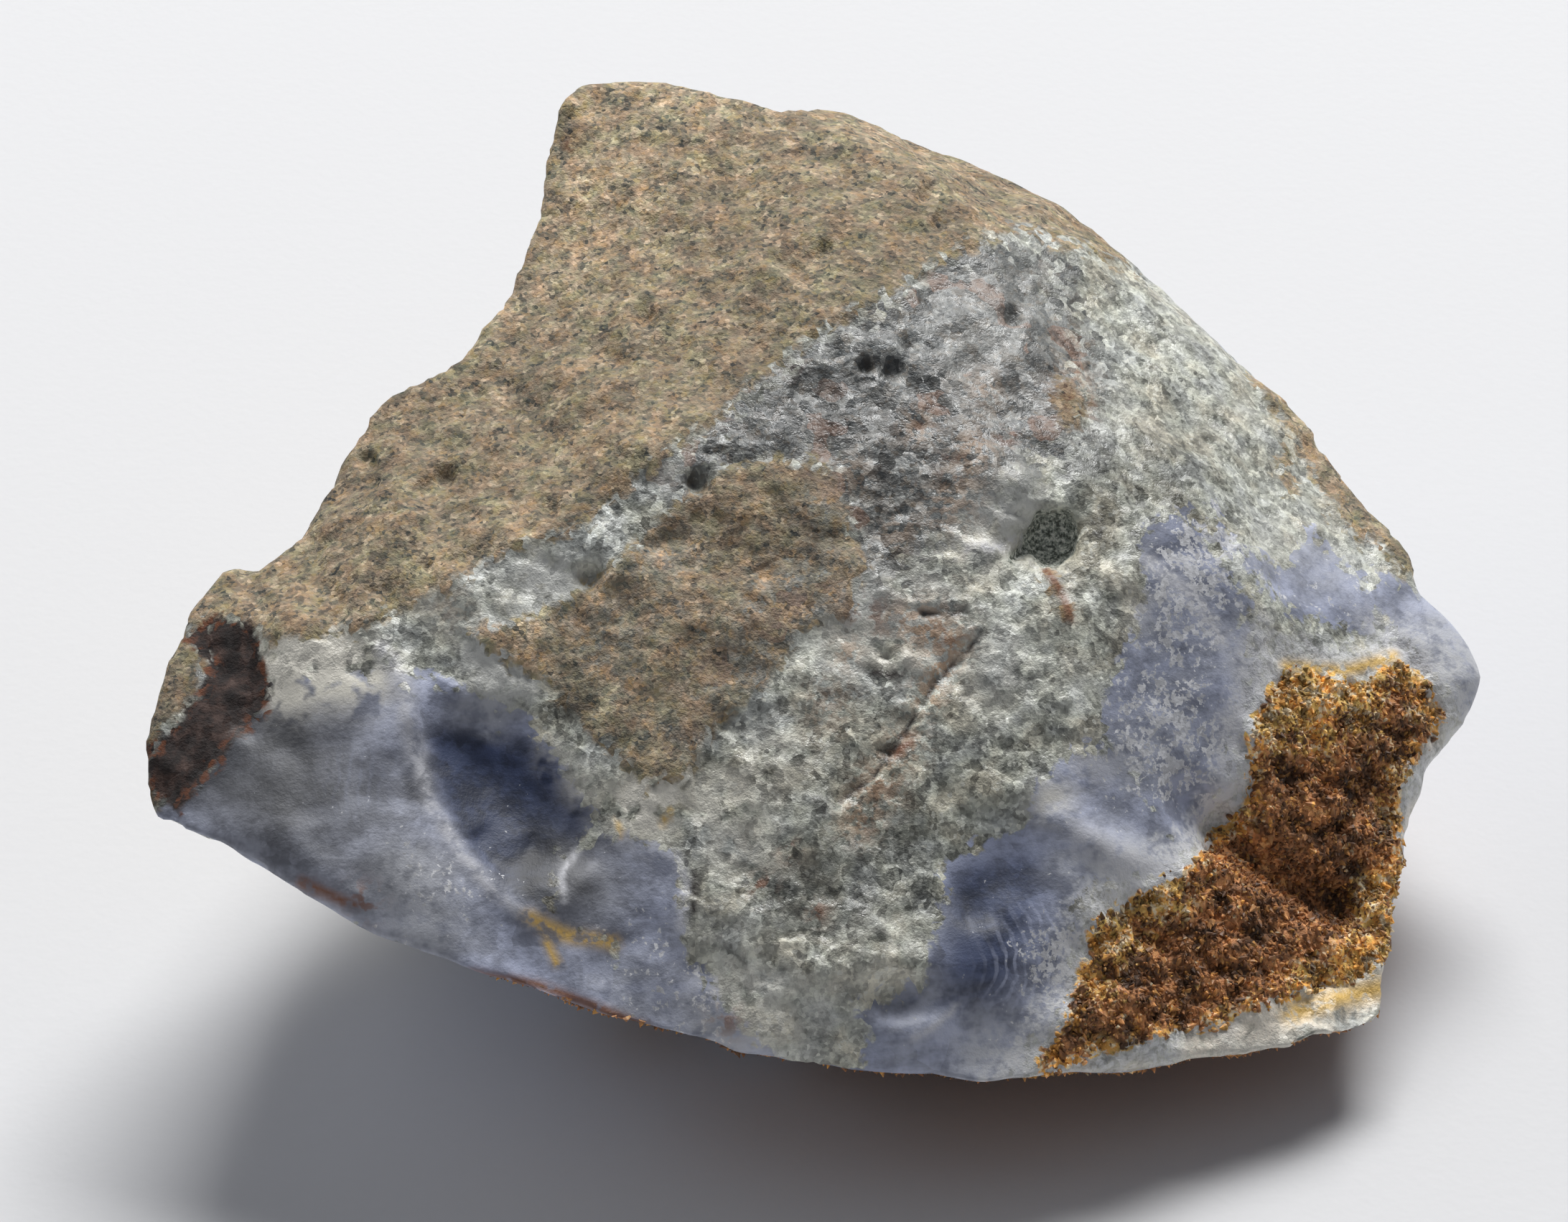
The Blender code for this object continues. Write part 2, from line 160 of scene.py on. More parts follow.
# Grey rock, soaked with quartz, between the host rock and the clear quartz
GREY_ROCK = [
    (13.7, 26.3), (17.4, 25.3), (19.9, 22.6), (21.4, 18.6), (20.4, 12.6), (17.4, 9.6), (13.9, 6.5),
    (9.9, 3.6), (6.9, -0.5), (4.9, 0.5), (2.9, 9.5), (-4.6, 9.2), (-7, 7.6), (-10.1, 9.1), (0.4, 18.1),
]

# The dark brown film of iron on the left end
IRON_FILM = [
    (-41.8, -1.9), (-39.3, -0.5), (-37.2, -0.7), (-36.4, -2.6), (-35.6, -5.7), (-36.1, -6.8), (-38, -8.8),
    (-39.9, -11.2), (-42.2, -14.1), (-43.3, -13.3), (-44.5, -11.6), (-44.9, -10.7), (-43.9, -9.5),
    (-40.8, -5.7), (-39.9, -3.6),
]

# Soft patches of one tint: across, up, radius, amount
CREAM_PATCHES = [
    (-34, -3.4, 2.6, 1.6), (-31, -4, 2.4, 1.3), (-28.6, -4.4, 2, 1), (-34.8, -5.6, 1.6, 0.9),
    (-16, -10.2, 1.2, 0.7), (-14.2, -12.2, 1.3, 0.9), (-11.6, -14, 1.5, 0.9), (-9.6, -12.9, 1.8, 1.5),
    (-8.8, -14.6, 1.5, 0.9), (-7.8, -11.5, 1.6, 0.8), (-6.6, -8.6, 1.3, 0.7), (4.9, -2.5, 2.2, 0.9),
    (8.6, -3.3, 1.8, 0.7), (10.9, -0.8, 1.6, 0.6), (-2.2, -26.1, 4, 0.5), (-3, -18, 4, 0.3),
    (-2.5, -11.5, 2.6, 0.6), (-5.5, -13.5, 2, 0.6), (0.5, -9.5, 2.2, 0.4), (-3, -16, 2.4, 0.4),
    (11.5, -0.3, 1.6, 0.7), (14.5, -5.5, 3, 0.35), (23.9, 1.6, 2.2, 0.4), (18.6, -13.2, 1.5, 0.9),
    (21.2, -10.3, 2, 0.4), (44.5, -8.4, 1.6, 1), (44.6, -14.5, 1.6, 1), (7, -24, 3, 0.4),
    (13.5, 5, 1.6, 0.5), (14.2, 3.2, 1.4, 0.6), (9.3, 1.5, 1.6, 0.4), (38, -28.5, 3, 1.3),
    (33.5, -29.8, 2.4, 1.3), (29, -30.6, 1.8, 1), (41.6, -27, 2, 1.1), (24.5, -31.6, 1.5, 0.5),
    (20.5, -32.6, 1.5, 0.5), (31, 13, 2.5, 0.35), (24.6, 13, 2.4, 0.3),
]
TAN_PATCHES = [
    (9.9, -1, 1.7, 1), (7.6, -0.6, 1.1, 0.5), (12, -2.2, 1.2, 0.8), (11, -4, 1.1, 0.9), (9.9, -6, 1.3, 0.9),
    (8.4, -9.4, 1.5, 0.7), (6.6, -12, 1.6, 0.8), (5.2, -14.6, 1.5, 0.6), (4.4, -2.8, 1, 0.7),
    (11.9, 7.5, 2, 0.5), (7.9, 5.5, 1.3, 0.4), (13.2, 11.2, 1.6, 0.5), (9.3, 12.8, 1.3, 0.5),
    (4.8, 9.6, 1.4, 0.4), (20, 15.5, 1.6, 0.5), (14, 15.5, 1.4, 0.4), (3, -6.5, 2, 0.4),
    (-23, 0.2, 1.5, 0.3),
]
SMOKE_PATCHES = [
    (-35, -11.5, 7.5, 0.9), (-27, -19.5, 5, 0.6), (-14, -20, 4, 0.6), (-16, -17.5, 3, 0.5),
]
MIXED_PATCHES = [
    (1.5, 0, 4, 0.8), (-3, -4.5, 3.5, 0.5), (-12.5, -2, 4, 0.5), (-7.5, -9.5, 3, 0.4), (-8, 4, 3, 0.4),
    (3, 8, 2.5, 0.5),
]
# Lighter patches: partly the stone's own paler places, partly painted light on faces that catch it
PALE_AND_LIT_PATCHES = [
    (-20.2, -2.8, 1.6, 0.7), (-17.5, -4.5, 1.4, 0.5), (-15.6, -9, 1.1, 0.7), (-13, -11, 1.3, 0.5),
    (-26.8, -12.6, 1.2, 0.5), (16.5, 6.2, 1.5, 0.4), (-8, 36, 3, 0.3), (-33.5, -3, 2, 0.5),
    (-19.5, -5, 2, 0.6), (-10, -4.5, 3, 0.35), (5, 0.3, 2, 0.4), (22.8, -18.6, 2, 0.6),
    (-5, -30.5, 2.5, 0.5), (-1.5, -9, 1.6, 0.5), (-15, 1.5, 1.6, 0.5), (-21, -2, 1.4, 0.5),
    (-18.5, 3, 3, 0.7), (-23.9, 0, 2.4, 0.6), (-31, -2.2, 2.4, 0.5), (-17.5, -0.8, 2.2, 0.8),
    (-20.5, -3.2, 2, 0.8), (-13.5, 2.5, 1.8, 0.5), (-22.5, -7, 1.4, 0.6), (23.5, -17.6, 2.6, 1),
    (26, -18.2, 1.8, 0.8), (29.9, -17, 2.2, 0.6), (21.8, -28.3, 2.2, 0.8), (9.8, -7.1, 3, 0.3),
    (18.3, -13.5, 1.4, 0.8), (29.3, 20.7, 6.5, 0.35), (36.4, 10.9, 4.3, 0.3), (33.2, -31, 3, 0.9),
    (39.1, -29.9, 2.6, 0.8), (47.8, -3.3, 5, 1.3), (14.1, 21.7, 4, 0.3), (38, 3.5, 3, 0.6),
    (-4.9, -20.7, 3, 0.3), (16.4, -31.6, 3.5, 0.7), (2.5, -27.5, 3, 0.4), (-24.5, -21, 3.6, 0.6),
    (-26.6, -17.4, 2.2, 0.7), (-42, -15.4, 1.6, 0.5), (-29.5, -17.5, 3, 0.3), (-11, -27, 3.2, 0.5),
    (24, -10.5, 2.2, 0.6), (13.5, 5.8, 2.4, 0.9), (16.5, 8, 2.2, 0.8), (18.5, 1.8, 1.8, 0.6),
    (6.5, 1.5, 1.5, 0.6), (25, -0.5, 1.6, 0.5), (9, 23.5, 2, 0.3), (33.5, 4.5, 2.5, 0.5),
    (16, -2, 2.5, 0.4), (20.5, -5, 2, 0.5), (-8, 34, 6, 0.55), (-13, 28, 4.5, 0.5), (7, 32, 3, 0.3),
    (3.5, -7.5, 2.5, 0.4), (31.5, -2.5, 2, 0.4), (17.5, 4.8, 1.4, 0.6), (0.5, -1.5, 2, 0.5),
    (10, -2, 2.5, 0.5), (25.5, -19.5, 1.5, 0.8), (27.5, 0, 4, 0.3), (27, -8, 4, 0.3), (-9, 1, 6, 0.3),
    (-16.6, 2.5, 1.6, 1), (-20.3, -3.6, 1.8, 0.9), (-20, -8.3, 1.2, 0.6), (5, 0.5, 1.8, 0.8),
    (9.5, 0.8, 2, 0.5), (0, -29, 4, 0.5), (-5, -29, 3, 0.4), (-11.5, -5.5, 2.5, 0.3), (13, 16, 3, 0.2),
    (5, 10.5, 1.8, 0.4), (16.5, 6.5, 2.5, 0.5), (-7.6, 9.3, 1.2, 0.8), (19.8, -17.6, 1.6, 0.7),
    (10, -27, 2.5, 0.4), (15, -30.5, 3, 0.5), (-11, -5, 3, 0.4), (-18, -5, 2.5, 0.5), (-13, 34.5, 4, 0.4),
    (-14.5, 25, 4, 0.4), (-19.5, 19.5, 3, 0.4), (9.5, -5, 1.2, 0.5), (33, -3.5, 2, 0.6),
    (5, -1.5, 2.2, 0.7), (14.5, -4.5, 2.5, 0.5), (-20.5, -6.5, 1.5, 0.6), (14, -32, 3, 0.5),
    (8.5, -30, 2, 0.4), (-5, -21, 2.5, 0.3), (-25.5, -22.5, 3, 0.4), (-12.5, -6.8, 0.8, 0.3),
]
# Darker patches: partly the stone's own darker places, partly painted shade
DARK_AND_SHADED_PATCHES = [
    (-20.6, -15.2, 2.2, 0.6), (-17, -18.2, 1.8, 0.4), (-45, -12, 1.6, 0.5), (-38.2, -9.2, 1.6, 0.3),
    (-15, 7, 2.2, 0.35), (-11, 6, 2, 0.35), (8, 2.5, 1.4, 0.4), (17.6, 1.5, 1.3, 0.6),
    (10.6, -6.3, 1.1, 0.6), (-1.2, -18, 1.6, 0.6), (3.5, -9.5, 2, 0.35), (-35, -16.6, 2, 0.3),
    (-40.2, -5.2, 2.2, 0.7), (-42, -12, 2, 0.5), (-25.4, -12, 1.6, 0.5), (-13.6, -5.8, 1.2, 0.6),
    (-14.6, -7.6, 1.4, 0.6), (-8.5, 6, 1.2, 0.5), (-6.5, 8.9, 0.9, 0.8), (-13.6, 2.7, 1, 0.3),
    (3.3, 14.1, 4.9, 0.35), (-15.3, -6.4, 1.4, 0.8), (-12, -8.2, 1.4, 0.8), (-21.7, -9.8, 3.3, 0.2),
    (14.5, -21.5, 2.5, 0.3), (-4.3, -8.2, 2.2, 0.3), (0.9, -19.3, 3, 0.6), (2.7, 4.9, 1.3, 0.7),
    (7.2, -16.4, 2.4, 0.5), (8, 13, 2.5, 0.3), (22, 6, 1, 0.6), (22.3, 4.4, 0.9, 0.6), (21.5, 10, 2, 0.4),
    (-36, -10.5, 5, 1), (-31.5, -14.5, 4.5, 0.5), (12.5, -21.5, 2, 0.5), (-16.8, -18.3, 2.6, 0.9),
    (-38, -9, 3.5, 0.8), (26, 12, 6, 0.35), (20.5, 10, 2, 0.5), (25, 5, 2.5, 0.35), (3, -19, 4, 0.45),
    (-27.5, -12, 2.5, 0.4), (-25.6, -12.5, 1.6, 0.6), (-44, -11.5, 2.4, 1.4), (-12, -18, 3.5, 0.4),
    (7, -9.7, 0.5, 1), (7.1, -3.2, 0.45, 1), (-5, -19, 2, 0.4), (9, -21, 3, 0.35), (5, -5.5, 1.5, 0.6),
    (3, -10.5, 2, 0.4), (9, 24, 4, 0.3), (10.5, 10, 1.5, 0.4), (0, 15, 2, 0.4), (-18, 15.5, 3, 0.3),
    (10.5, -7.5, 1.5, 0.5), (14, -12, 1.5, 0.5), (-14.5, -19, 3, 0.55), (1.5, -13, 2, 0.5),
    (9, -14, 2.5, 0.4), (26, 9.5, 2.5, 0.4), (28.5, 8, 2, 0.3), (-22, 9.5, 4, 0.25), (-30, 9, 4, 0.2),
    (-15, 15, 4, 0.15), (5.2, -20.5, 1.5, 0.4),
]
RUST_PATCHES = [
    (6, -0.3, 1.7, 0.7), (11.6, -1.4, 1.7, 0.6), (7.2, -11.7, 1.8, 0.5), (5.4, -14.5, 1.3, 0.6),
    (-1.6, -19.2, 0.9, 0.9), (0.4, -16.7, 0.8, 0.7), (2.4, -21, 0.9, 0.7), (-4, -28.5, 1.2, 0.7),
    (-29.3, -20.2, 1.3, 0.8), (-14.9, 32.3, 0.6, 0.9), (20.1, 14.7, 1.5, 0.6), (-3.8, 13, 0.5, 0.5),
    (12, 10, 1, 0.6), (15.5, 12, 0.8, 0.6), (9.5, 12.5, 0.8, 0.5), (1, 9.5, 0.8, 0.5),
]
# Patches of clear, dark chalcedony; the one below the ledge at the front is painted shade
DEEP_AND_LEDGE_SHADE_PATCHES = [(28, -4, 3, 0.15), (6, -27.3, 3.5, 0.5)]
FROST_PATCHES = [
    (28, 1.5, 5, 1.1), (26.5, -9, 5, 1.3), (19.5, -24, 3, 1.1), (14, -22, 5, 0.15), (-8, -24, 5, 0.5),
    (38, 0, 4, 0.4), (-24, -19, 4, 0.6), (17, -30, 3, 0.6), (31, 6, 3, 0.8), (-4, -28, 3, 0.6),
]
FRINGE_PATCHES = [
    (36, -4.6, 2.6, 1), (36.5, -5.6, 3, 1), (39.5, -5.6, 2.4, 0.9), (43.5, -4, 1.6, 0.6),
    (33.6, -8, 1.8, 0.8), (31.6, -14.6, 1.4, 0.7), (26.5, -19.6, 2.2, 0.9), (23.2, -22.6, 2, 0.9),
    (22, -26.5, 1.6, 0.6), (36.5, -26, 2, 0.6), (40.5, -25, 2.6, 1), (44.5, -7, 1.2, 0.5),
    (42.4, -14, 1.4, 0.6), (31, -29, 1.6, 0.6), (22, -30.8, 1.3, 0.7), (42.2, -20, 2.2, 1.2),
    (42.6, -11.5, 1.2, 0.6), (37.8, -9.5, 1.8, 0.3),
]
LACE_PATCHES = [(18, -24.5, 4.2, 1), (27, -6, 3, 0.35), (-30, -12, 4, 0.4)]

# The curve that the lace bands follow
LACE_CURVE = [(19.9, -18), (21.7, -22.5), (21.9, -26.5), (20.4, -30)]

# Soft lines of one tint: a path of (across, up), half width
PALE_LINES = [
    ([(33, -1), (32.4, -5.4), (31.2, -9), (30.6, -12.5)], 1.1),
    ([(-27.9, -2.7), (-26.8, -5), (-26.4, -7.5), (-25.8, -10)], 0.7),
    ([(-25.8, -10), (-24.9, -13.2), (-22.8, -16.8), (-20.2, -19.8), (-17.6, -21.6)], 0.4),
    ([(8.8, -29.8), (10.4, -29), (12, -27.6)], 0.25), ([(20.5, -15.6), (23.5, -17.4), (27.8, -18.4)], 0.9),
    ([(25.5, 3.5), (28.5, 1), (30.6, -2)], 0.5), ([(40.5, -0.5), (42.5, -2), (44.5, -3.8)], 0.9),
    ([(-7.6, -16.9), (-6.7, -18.9), (-7.1, -22)], 0.4), ([(12.9, 4.3), (15.4, 4.5), (16.7, 5.3)], 0.4),
    ([(-14.4, -16.6), (-15.5, -18.4), (-15.3, -20.2)], 0.25),
]
OCHRE_LINES = [
    ([(-4, -7), (-4.4, -7.9)], 0.22), ([(-7.9, -14), (-8.5, -14.8)], 0.22),
    ([(-11.7, -14.7), (-11.3, -15.5)], 0.2), ([(-17.7, -21.4), (-15.1, -22.6), (-11.9, -23.1)], 0.5),
    ([(-16.5, -23), (-15.8, -24.5)], 0.3), ([(41.8, -26.2), (38.4, -27), (35.4, -28)], 0.8),
    ([(35, -3.8), (39, -4.2), (42.4, -3.2)], 0.45),
]
RUST_LINES = [
    ([(-21.8, -25.2), (-17.1, -26), (-13.2, -27.5), (-9.4, -29.1)], 0.35),
    ([(-33.5, -18.9), (-30, -20.5)], 0.4), ([(18.2, 2.8), (19.4, 1.1), (20, -0.7)], 0.3),
    ([(8.7, -9), (7.9, -9.8)], 0.5),
]
# Dark lines along the cracks: painted shade in them
CRACK_SHADE_LINES = [
    ([(14.2, -1.2), (12.4, -3.1), (10.6, -4.9), (9.4, -6.7), (7.9, -9.2), (6.2, -11.5), (4, -13.2)], 0.16),
    ([(9.6, -0.1), (11.4, -0.4), (12.7, 0.1)], 0.25), ([(5.9, -4.1), (7.2, -4.5), (8.4, -4.4)], 0.35),
    ([(-6.2, -18.5), (-6.3, -21)], 0.3),
]

# Which attribute carries which patches and lines
SEEN_PATCHES = {
    "cream": CREAM_PATCHES, "stain": RUST_PATCHES, "smoke": SMOKE_PATCHES, "tan": TAN_PATCHES,
    "mixed": MIXED_PATCHES, "fringe": FRINGE_PATCHES,
}
SEEN_LINES = {"rim": PALE_LINES, "ochre": OCHRE_LINES, "rust": RUST_LINES, "line": CRACK_SHADE_LINES}

# Pits and small holes: across, up, radius, depth
HOST_PITS = [
    (-9.6, 20.4, 0.87, 0.7), (-29, 10.4, 0.71, 0.6), (-23.6, 9.2, 0.71, 0.6), (-28.6, 8.9, 0.49, 0.4),
    (-16.3, 7.1, 0.71, 0.5), (-21.3, 15.3, 0.49, 0.4), (-24.8, 3, 0.49, 0.4), (10.7, 26.8, 0.54, 0.4),
    (9.9, 29.1, 0.65, 0.5), (2.9, 25, 0.54, 0.4), (5.7, 17.2, 0.54, 0.8), (7.6, 17, 0.76, 1),
    (8.9, 18.7, 0.65, 0.7), (16, 20.5, 0.65, 0.8), (7.1, -3.2, 0.45, 0.35), (7, -9.7, 0.49, 0.35),
    (-5.9, 9, 0.87, 0.8), (-13.5, 2.4, 0.98, 0.9), (-42.5, -14.9, 0.6, 0.3), (-37, -18.4, 0.9, 0.5),
]

# Grooves and ribs: a path of (across, up), half width, depth below the surface or, if negative, height above
CRACK = (CRACK_SHADE_LINES[0][0], 0.4, 0.18)
FINE_CRACK = ([(9.6, -0.1), (12.7, 0.1)], 0.35, 0.3)
EYE_RIB = (
    [
        (-27.9, -2.7), (-26.6, -5), (-25.9, -7.5), (-25.1, -10.5), (-24, -14), (-22.1, -16.9),
        (-19.9, -19.7), (-17.9, -21.2),
    ],
    0.9, -0.35,
)
PALE_RIB = ([(18.8, -14.8), (23.3, -16.9), (27.6, -18.3)], 1.2, -0.4)
CRUST_CREASE = ([(30.4, -14.7), (34.2, -17.8), (39.6, -21)], 1.4, 0.9)
LEDGE_GROOVE = ([(4.6, -26.3), (10.1, -25.7)], 0.9, 0.5)
GROOVES = [CRACK, FINE_CRACK, EYE_RIB, PALE_RIB, CRUST_CREASE, LEDGE_GROOVE]

# The vein on the hidden side: it lies along the contact with the host rock and dips into the stone
CONTACT_RIGHT = Vector((14, 26.1, -6.5))
CONTACT_LEFT = Vector((-34.6, -1.5, 14))
VEIN_DIP = Vector((0.1, 0.55, -1))
HIDDEN_QUARTZ_THICKNESS = 9
HIDDEN_CRUST_DEPTH = 26

# What each crystal carries on from the stone at its seat
CARRIED = ("crust", "fringe", "pit")
CRYSTAL_LEAN = 0.75
CRYSTAL_SINK = 0.3
CRYSTAL_BATCH = 50
LOWEST_CRYSTAL = 0.0012

# Relief by zone, in millimetres: size, height
ALL_ROUGH = (1.6, 0.11)
CRUST_KNOBS = [(2.3, 0.45), (1.1, 0.35)]
HOST_RISE = 0.2
HOST_GRAINS = [(0.8, 0.1), (3.2, 0.16)]
BLUE_SWELL = [(4.5, 0.22)]
QUARTZ_STEPS = [(2.4, 0.17), (1.1, 0.09)]
VUG_DEPTH = 0.8

# Kinds of soft noise: size in millimetres, detail, roughness
MOTTLE = (1.8, 3.0, 0.7)
BLOTCHES = (2.2, 3.0, 0.7)
SPOTS = (1.4, 3.0, 0.7)
CRISP = (0.45, 2.0, 0.7)
DUST = (0.3, 2.0, 0.7)

# The quartz's clouds are drawn out downward, and the fine streaks in the chalcedony run across and up
QUARTZ_SCALE = (0.75, 0.45, 0.22)
STREAK_TURN = (0.0, math.radians(-40), 0.0)
STREAK_SCALE = (0.16, 0.5, 0.9)

# Colours of small stains, flecks and edges, and of painted shade in the cracks and at the crystals' feet
SPECK_BLACK = (0.05, 0.055, 0.05, 1)
CHIP_BROWN = (0.24, 0.14, 0.095)
FRINGE_CREAM = (0.86, 0.72, 0.48, 1)
# The whites laid over the lighter patches, which are partly painted light
QUARTZ_WHITE = (0.72, 0.72, 0.67, 1)
CHALCEDONY_WHITE = (0.60, 0.61, 0.64, 1)
FROST = (0.67, 0.67, 0.68)
BORDER_WHITE = (0.78, 0.78, 0.78, 1)
BORDER_CREAM = (0.97, 0.88, 0.74, 1)
RIM_WHITE = (0.63, 0.63, 0.66, 1)
TAN_STAIN = (0.60, 0.39, 0.24, 1)
IRON_STAIN = (0.24, 0.10, 0.05, 1)
CRACK_SHADE_BLACK = (0.05, 0.04, 0.035, 1)
FILM_RED = (0.26, 0.08, 0.025, 1)
# Painted shade at the crystals' feet
CRYSTAL_FOOT_SHADE = (0.02, 0.009, 0.004, 1)
QUARTZ_IOR = 1.54

# The lights: a window behind and a little to the right, a softer one at the left, and light from all round
LIT_PLACE = Vector((0, 0, 0.02))
KEY_PLACE = Vector((0.25, 1.45, 1.66))
KEY_SIZE = (1.3, 0.9)
SIDE_PLACE = Vector((-1.1, 0.35, 0.75))
SIDE_SIZE = (1.0, 1.0)
FILL_COLOUR = (0.93, 0.97, 1.08, 1)


class AgateStoneSettings(bpy.types.PropertyGroup):
    relief: bpy.props.FloatProperty(
        name="Relief", description="How strongly the broken surface stands out", default=1.0, min=0.0, max=2.0
    )
    host_colour: bpy.props.FloatVectorProperty(
        name="Host Rock", description="Colour of the brown host rock", subtype="COLOR", size=4,
        default=(0.35, 0.28, 0.195, 1.0),
    )
    quartz_colour: bpy.props.FloatVectorProperty(
        name="Quartz", description="Colour of the broken grey quartz", subtype="COLOR", size=4,
        default=(0.48, 0.48, 0.42, 1.0),
    )
    grey_colour: bpy.props.FloatVectorProperty(
        name="Grey Rock", description="Colour of the grey rock beside the host rock", subtype="COLOR", size=4,
        default=(0.225, 0.228, 0.215, 1.0),
    )
    cream_colour: bpy.props.FloatVectorProperty(
        name="Cream", description="Colour of the cream quartz", subtype="COLOR", size=4,
        default=(0.88, 0.84, 0.73, 1.0),
    )
    chalcedony_colour: bpy.props.FloatVectorProperty(
        name="Chalcedony", description="Colour of the milky blue chalcedony", subtype="COLOR", size=4,
        default=(0.38, 0.41, 0.53, 1.0),
    )
    deep_colour: bpy.props.FloatVectorProperty(
        name="Deep Blue", description="Colour of the clear, dark chalcedony", subtype="COLOR", size=4,
        default=(0.05, 0.066, 0.125, 1.0),
    )
    band_pitch: bpy.props.FloatProperty(
        name="Lace Band Pitch", description="Width of one lace band", default=0.00075, unit="LENGTH",
        min=0.0002,
    )


class AgateCrustSettings(bpy.types.PropertyGroup):
    crystal_width: bpy.props.FloatProperty(
        name="Crystal Width", description="Width of a middling crystal", default=0.00042, unit="LENGTH",
        min=0.0002,
    )
    crystals_per_square_mm: bpy.props.FloatProperty(
        name="Crystals per mm2", description="How densely the crystals stand", default=11.0, min=0.1, max=16.0
    )
    rust_colour: bpy.props.FloatVectorProperty(
        name="Rust", description="Colour of the iron-stained crystals", subtype="COLOR", size=4,
        default=(0.53, 0.23, 0.085, 1.0),
    )
    fringe_colour: bpy.props.FloatVectorProperty(
        name="Fringe", description="Colour of the crust's yellow edge", subtype="COLOR", size=4,
        default=(0.94, 0.46, 0.10, 1.0),
    )
    ochre_colour: bpy.props.FloatVectorProperty(
        name="Ochre", description="Colour of the yellow iron stains", subtype="COLOR", size=4,
        default=(0.84, 0.55, 0.16, 1.0),
    )


class AgateStageSettings(bpy.types.PropertyGroup):
    floor_width: bpy.props.FloatProperty(
        name="Floor Width", description="Width of the pale floor", default=4.0, unit="LENGTH", min=0.5
    )
    floor_colour: bpy.props.FloatVectorProperty(
        name="Floor", description="Colour of the pale floor", subtype="COLOR", size=4,
        default=(0.8, 0.8, 0.805, 1.0),
    )
    key_power: bpy.props.FloatProperty(
        name="Key Light", description="Power of the soft light above and behind", default=58.0,
        unit="POWER", min=0.0,
    )
    side_power: bpy.props.FloatProperty(
        name="Side Light", description="Power of the soft light at the left", default=2.4, unit="POWER",
        min=0.0,
    )
    fill_strength: bpy.props.FloatProperty(
        name="Fill", description="Strength of the light from all round", default=0.14, min=0.0
    )


def sight_plane(points):
    """(across, up, toward) of points in metres, each in millimetres."""
    away = points / MILLIMETRE - np.array(SIGHT_MIDDLE)
    toward = away @ np.array(TOWARD)
    nearer = 1 - toward / EYE_DISTANCE
    return np.stack([away[:, 0] / nearer, away @ np.array(UPWARD) / nearer, toward], axis=1)


def distance_to_path(places, path):
    """The distance of each place from a path of corners, in millimetres."""
    x, y = places[:, 0], places[:, 1]
    nearest = np.full(len(places), np.inf)
    for (x0, y0), (x1, y1) in zip(path, path[1:]):
        dx, dy = x1 - x0, y1 - y0
        share = np.clip(((x - x0) * dx + (y - y0) * dy) / (dx * dx + dy * dy), 0, 1)
        nearest = np.minimum(nearest, np.hypot(x - x0 - share * dx, y - y0 - share * dy))
    return nearest


def depth_inside(places, outline):
    """How far each place lies inside a closed outline, negative outside, in millimetres."""
    x, y = places[:, 0], places[:, 1]
    closed = outline + outline[:1]
    inside = np.zeros(len(places), bool)
    for (x0, y0), (x1, y1) in zip(closed, closed[1:]):
        if y0 != y1:
            inside ^= ((y0 > y) != (y1 > y)) & (x < x0 + (y - y0) * (x1 - x0) / (y1 - y0))
    nearest = distance_to_path(places, closed)
    return np.where(inside, nearest, -nearest)


def along_lines(places, lines):
    """1 on the nearest line, less beside it."""
    return np.max([np.exp(-((distance_to_path(places, path) / width) ** 2)) for path, width in lines], axis=0)


def soft_step(values, low, high):
    share = np.clip((values - low) / (high - low), 0, 1)
    return share * share * (3 - 2 * share)


def patches(places, spots):
    """The sum of soft round patches."""
    total = np.zeros(len(places))
    for across, up, radius, amount in spots:
        away = np.hypot(places[:, 0] - across, places[:, 1] - up) / radius
        total += amount * np.exp(-away * away)
    return total


def deepest(places, outlines):
    return np.max([depth_inside(places, outline) for outline in outlines], axis=0)


def vein_depth(points):
    """How far below the contact with the host rock each point lies, in millimetres, for the hidden side."""
    right, left = (stood_up(corner) for corner in (CONTACT_RIGHT, CONTACT_LEFT))
    across_vein = (right - left).cross(VEIN_DIP).normalized()
    if across_vein.z > 0:
        across_vein.negate()
    return (points / MILLIMETRE - np.array(right)) @ np.array(across_vein)


def stood_up(corner):
    """A corner of the sight plane's space, (across, up, toward), where the stone stands, in millimetres."""
    nearer = 1 - corner.z / EYE_DISTANCE
    return SIGHT_MIDDLE + Vector((corner.x * nearer, 0, 0)) + UPWARD * corner.y * nearer + TOWARD * corner.z


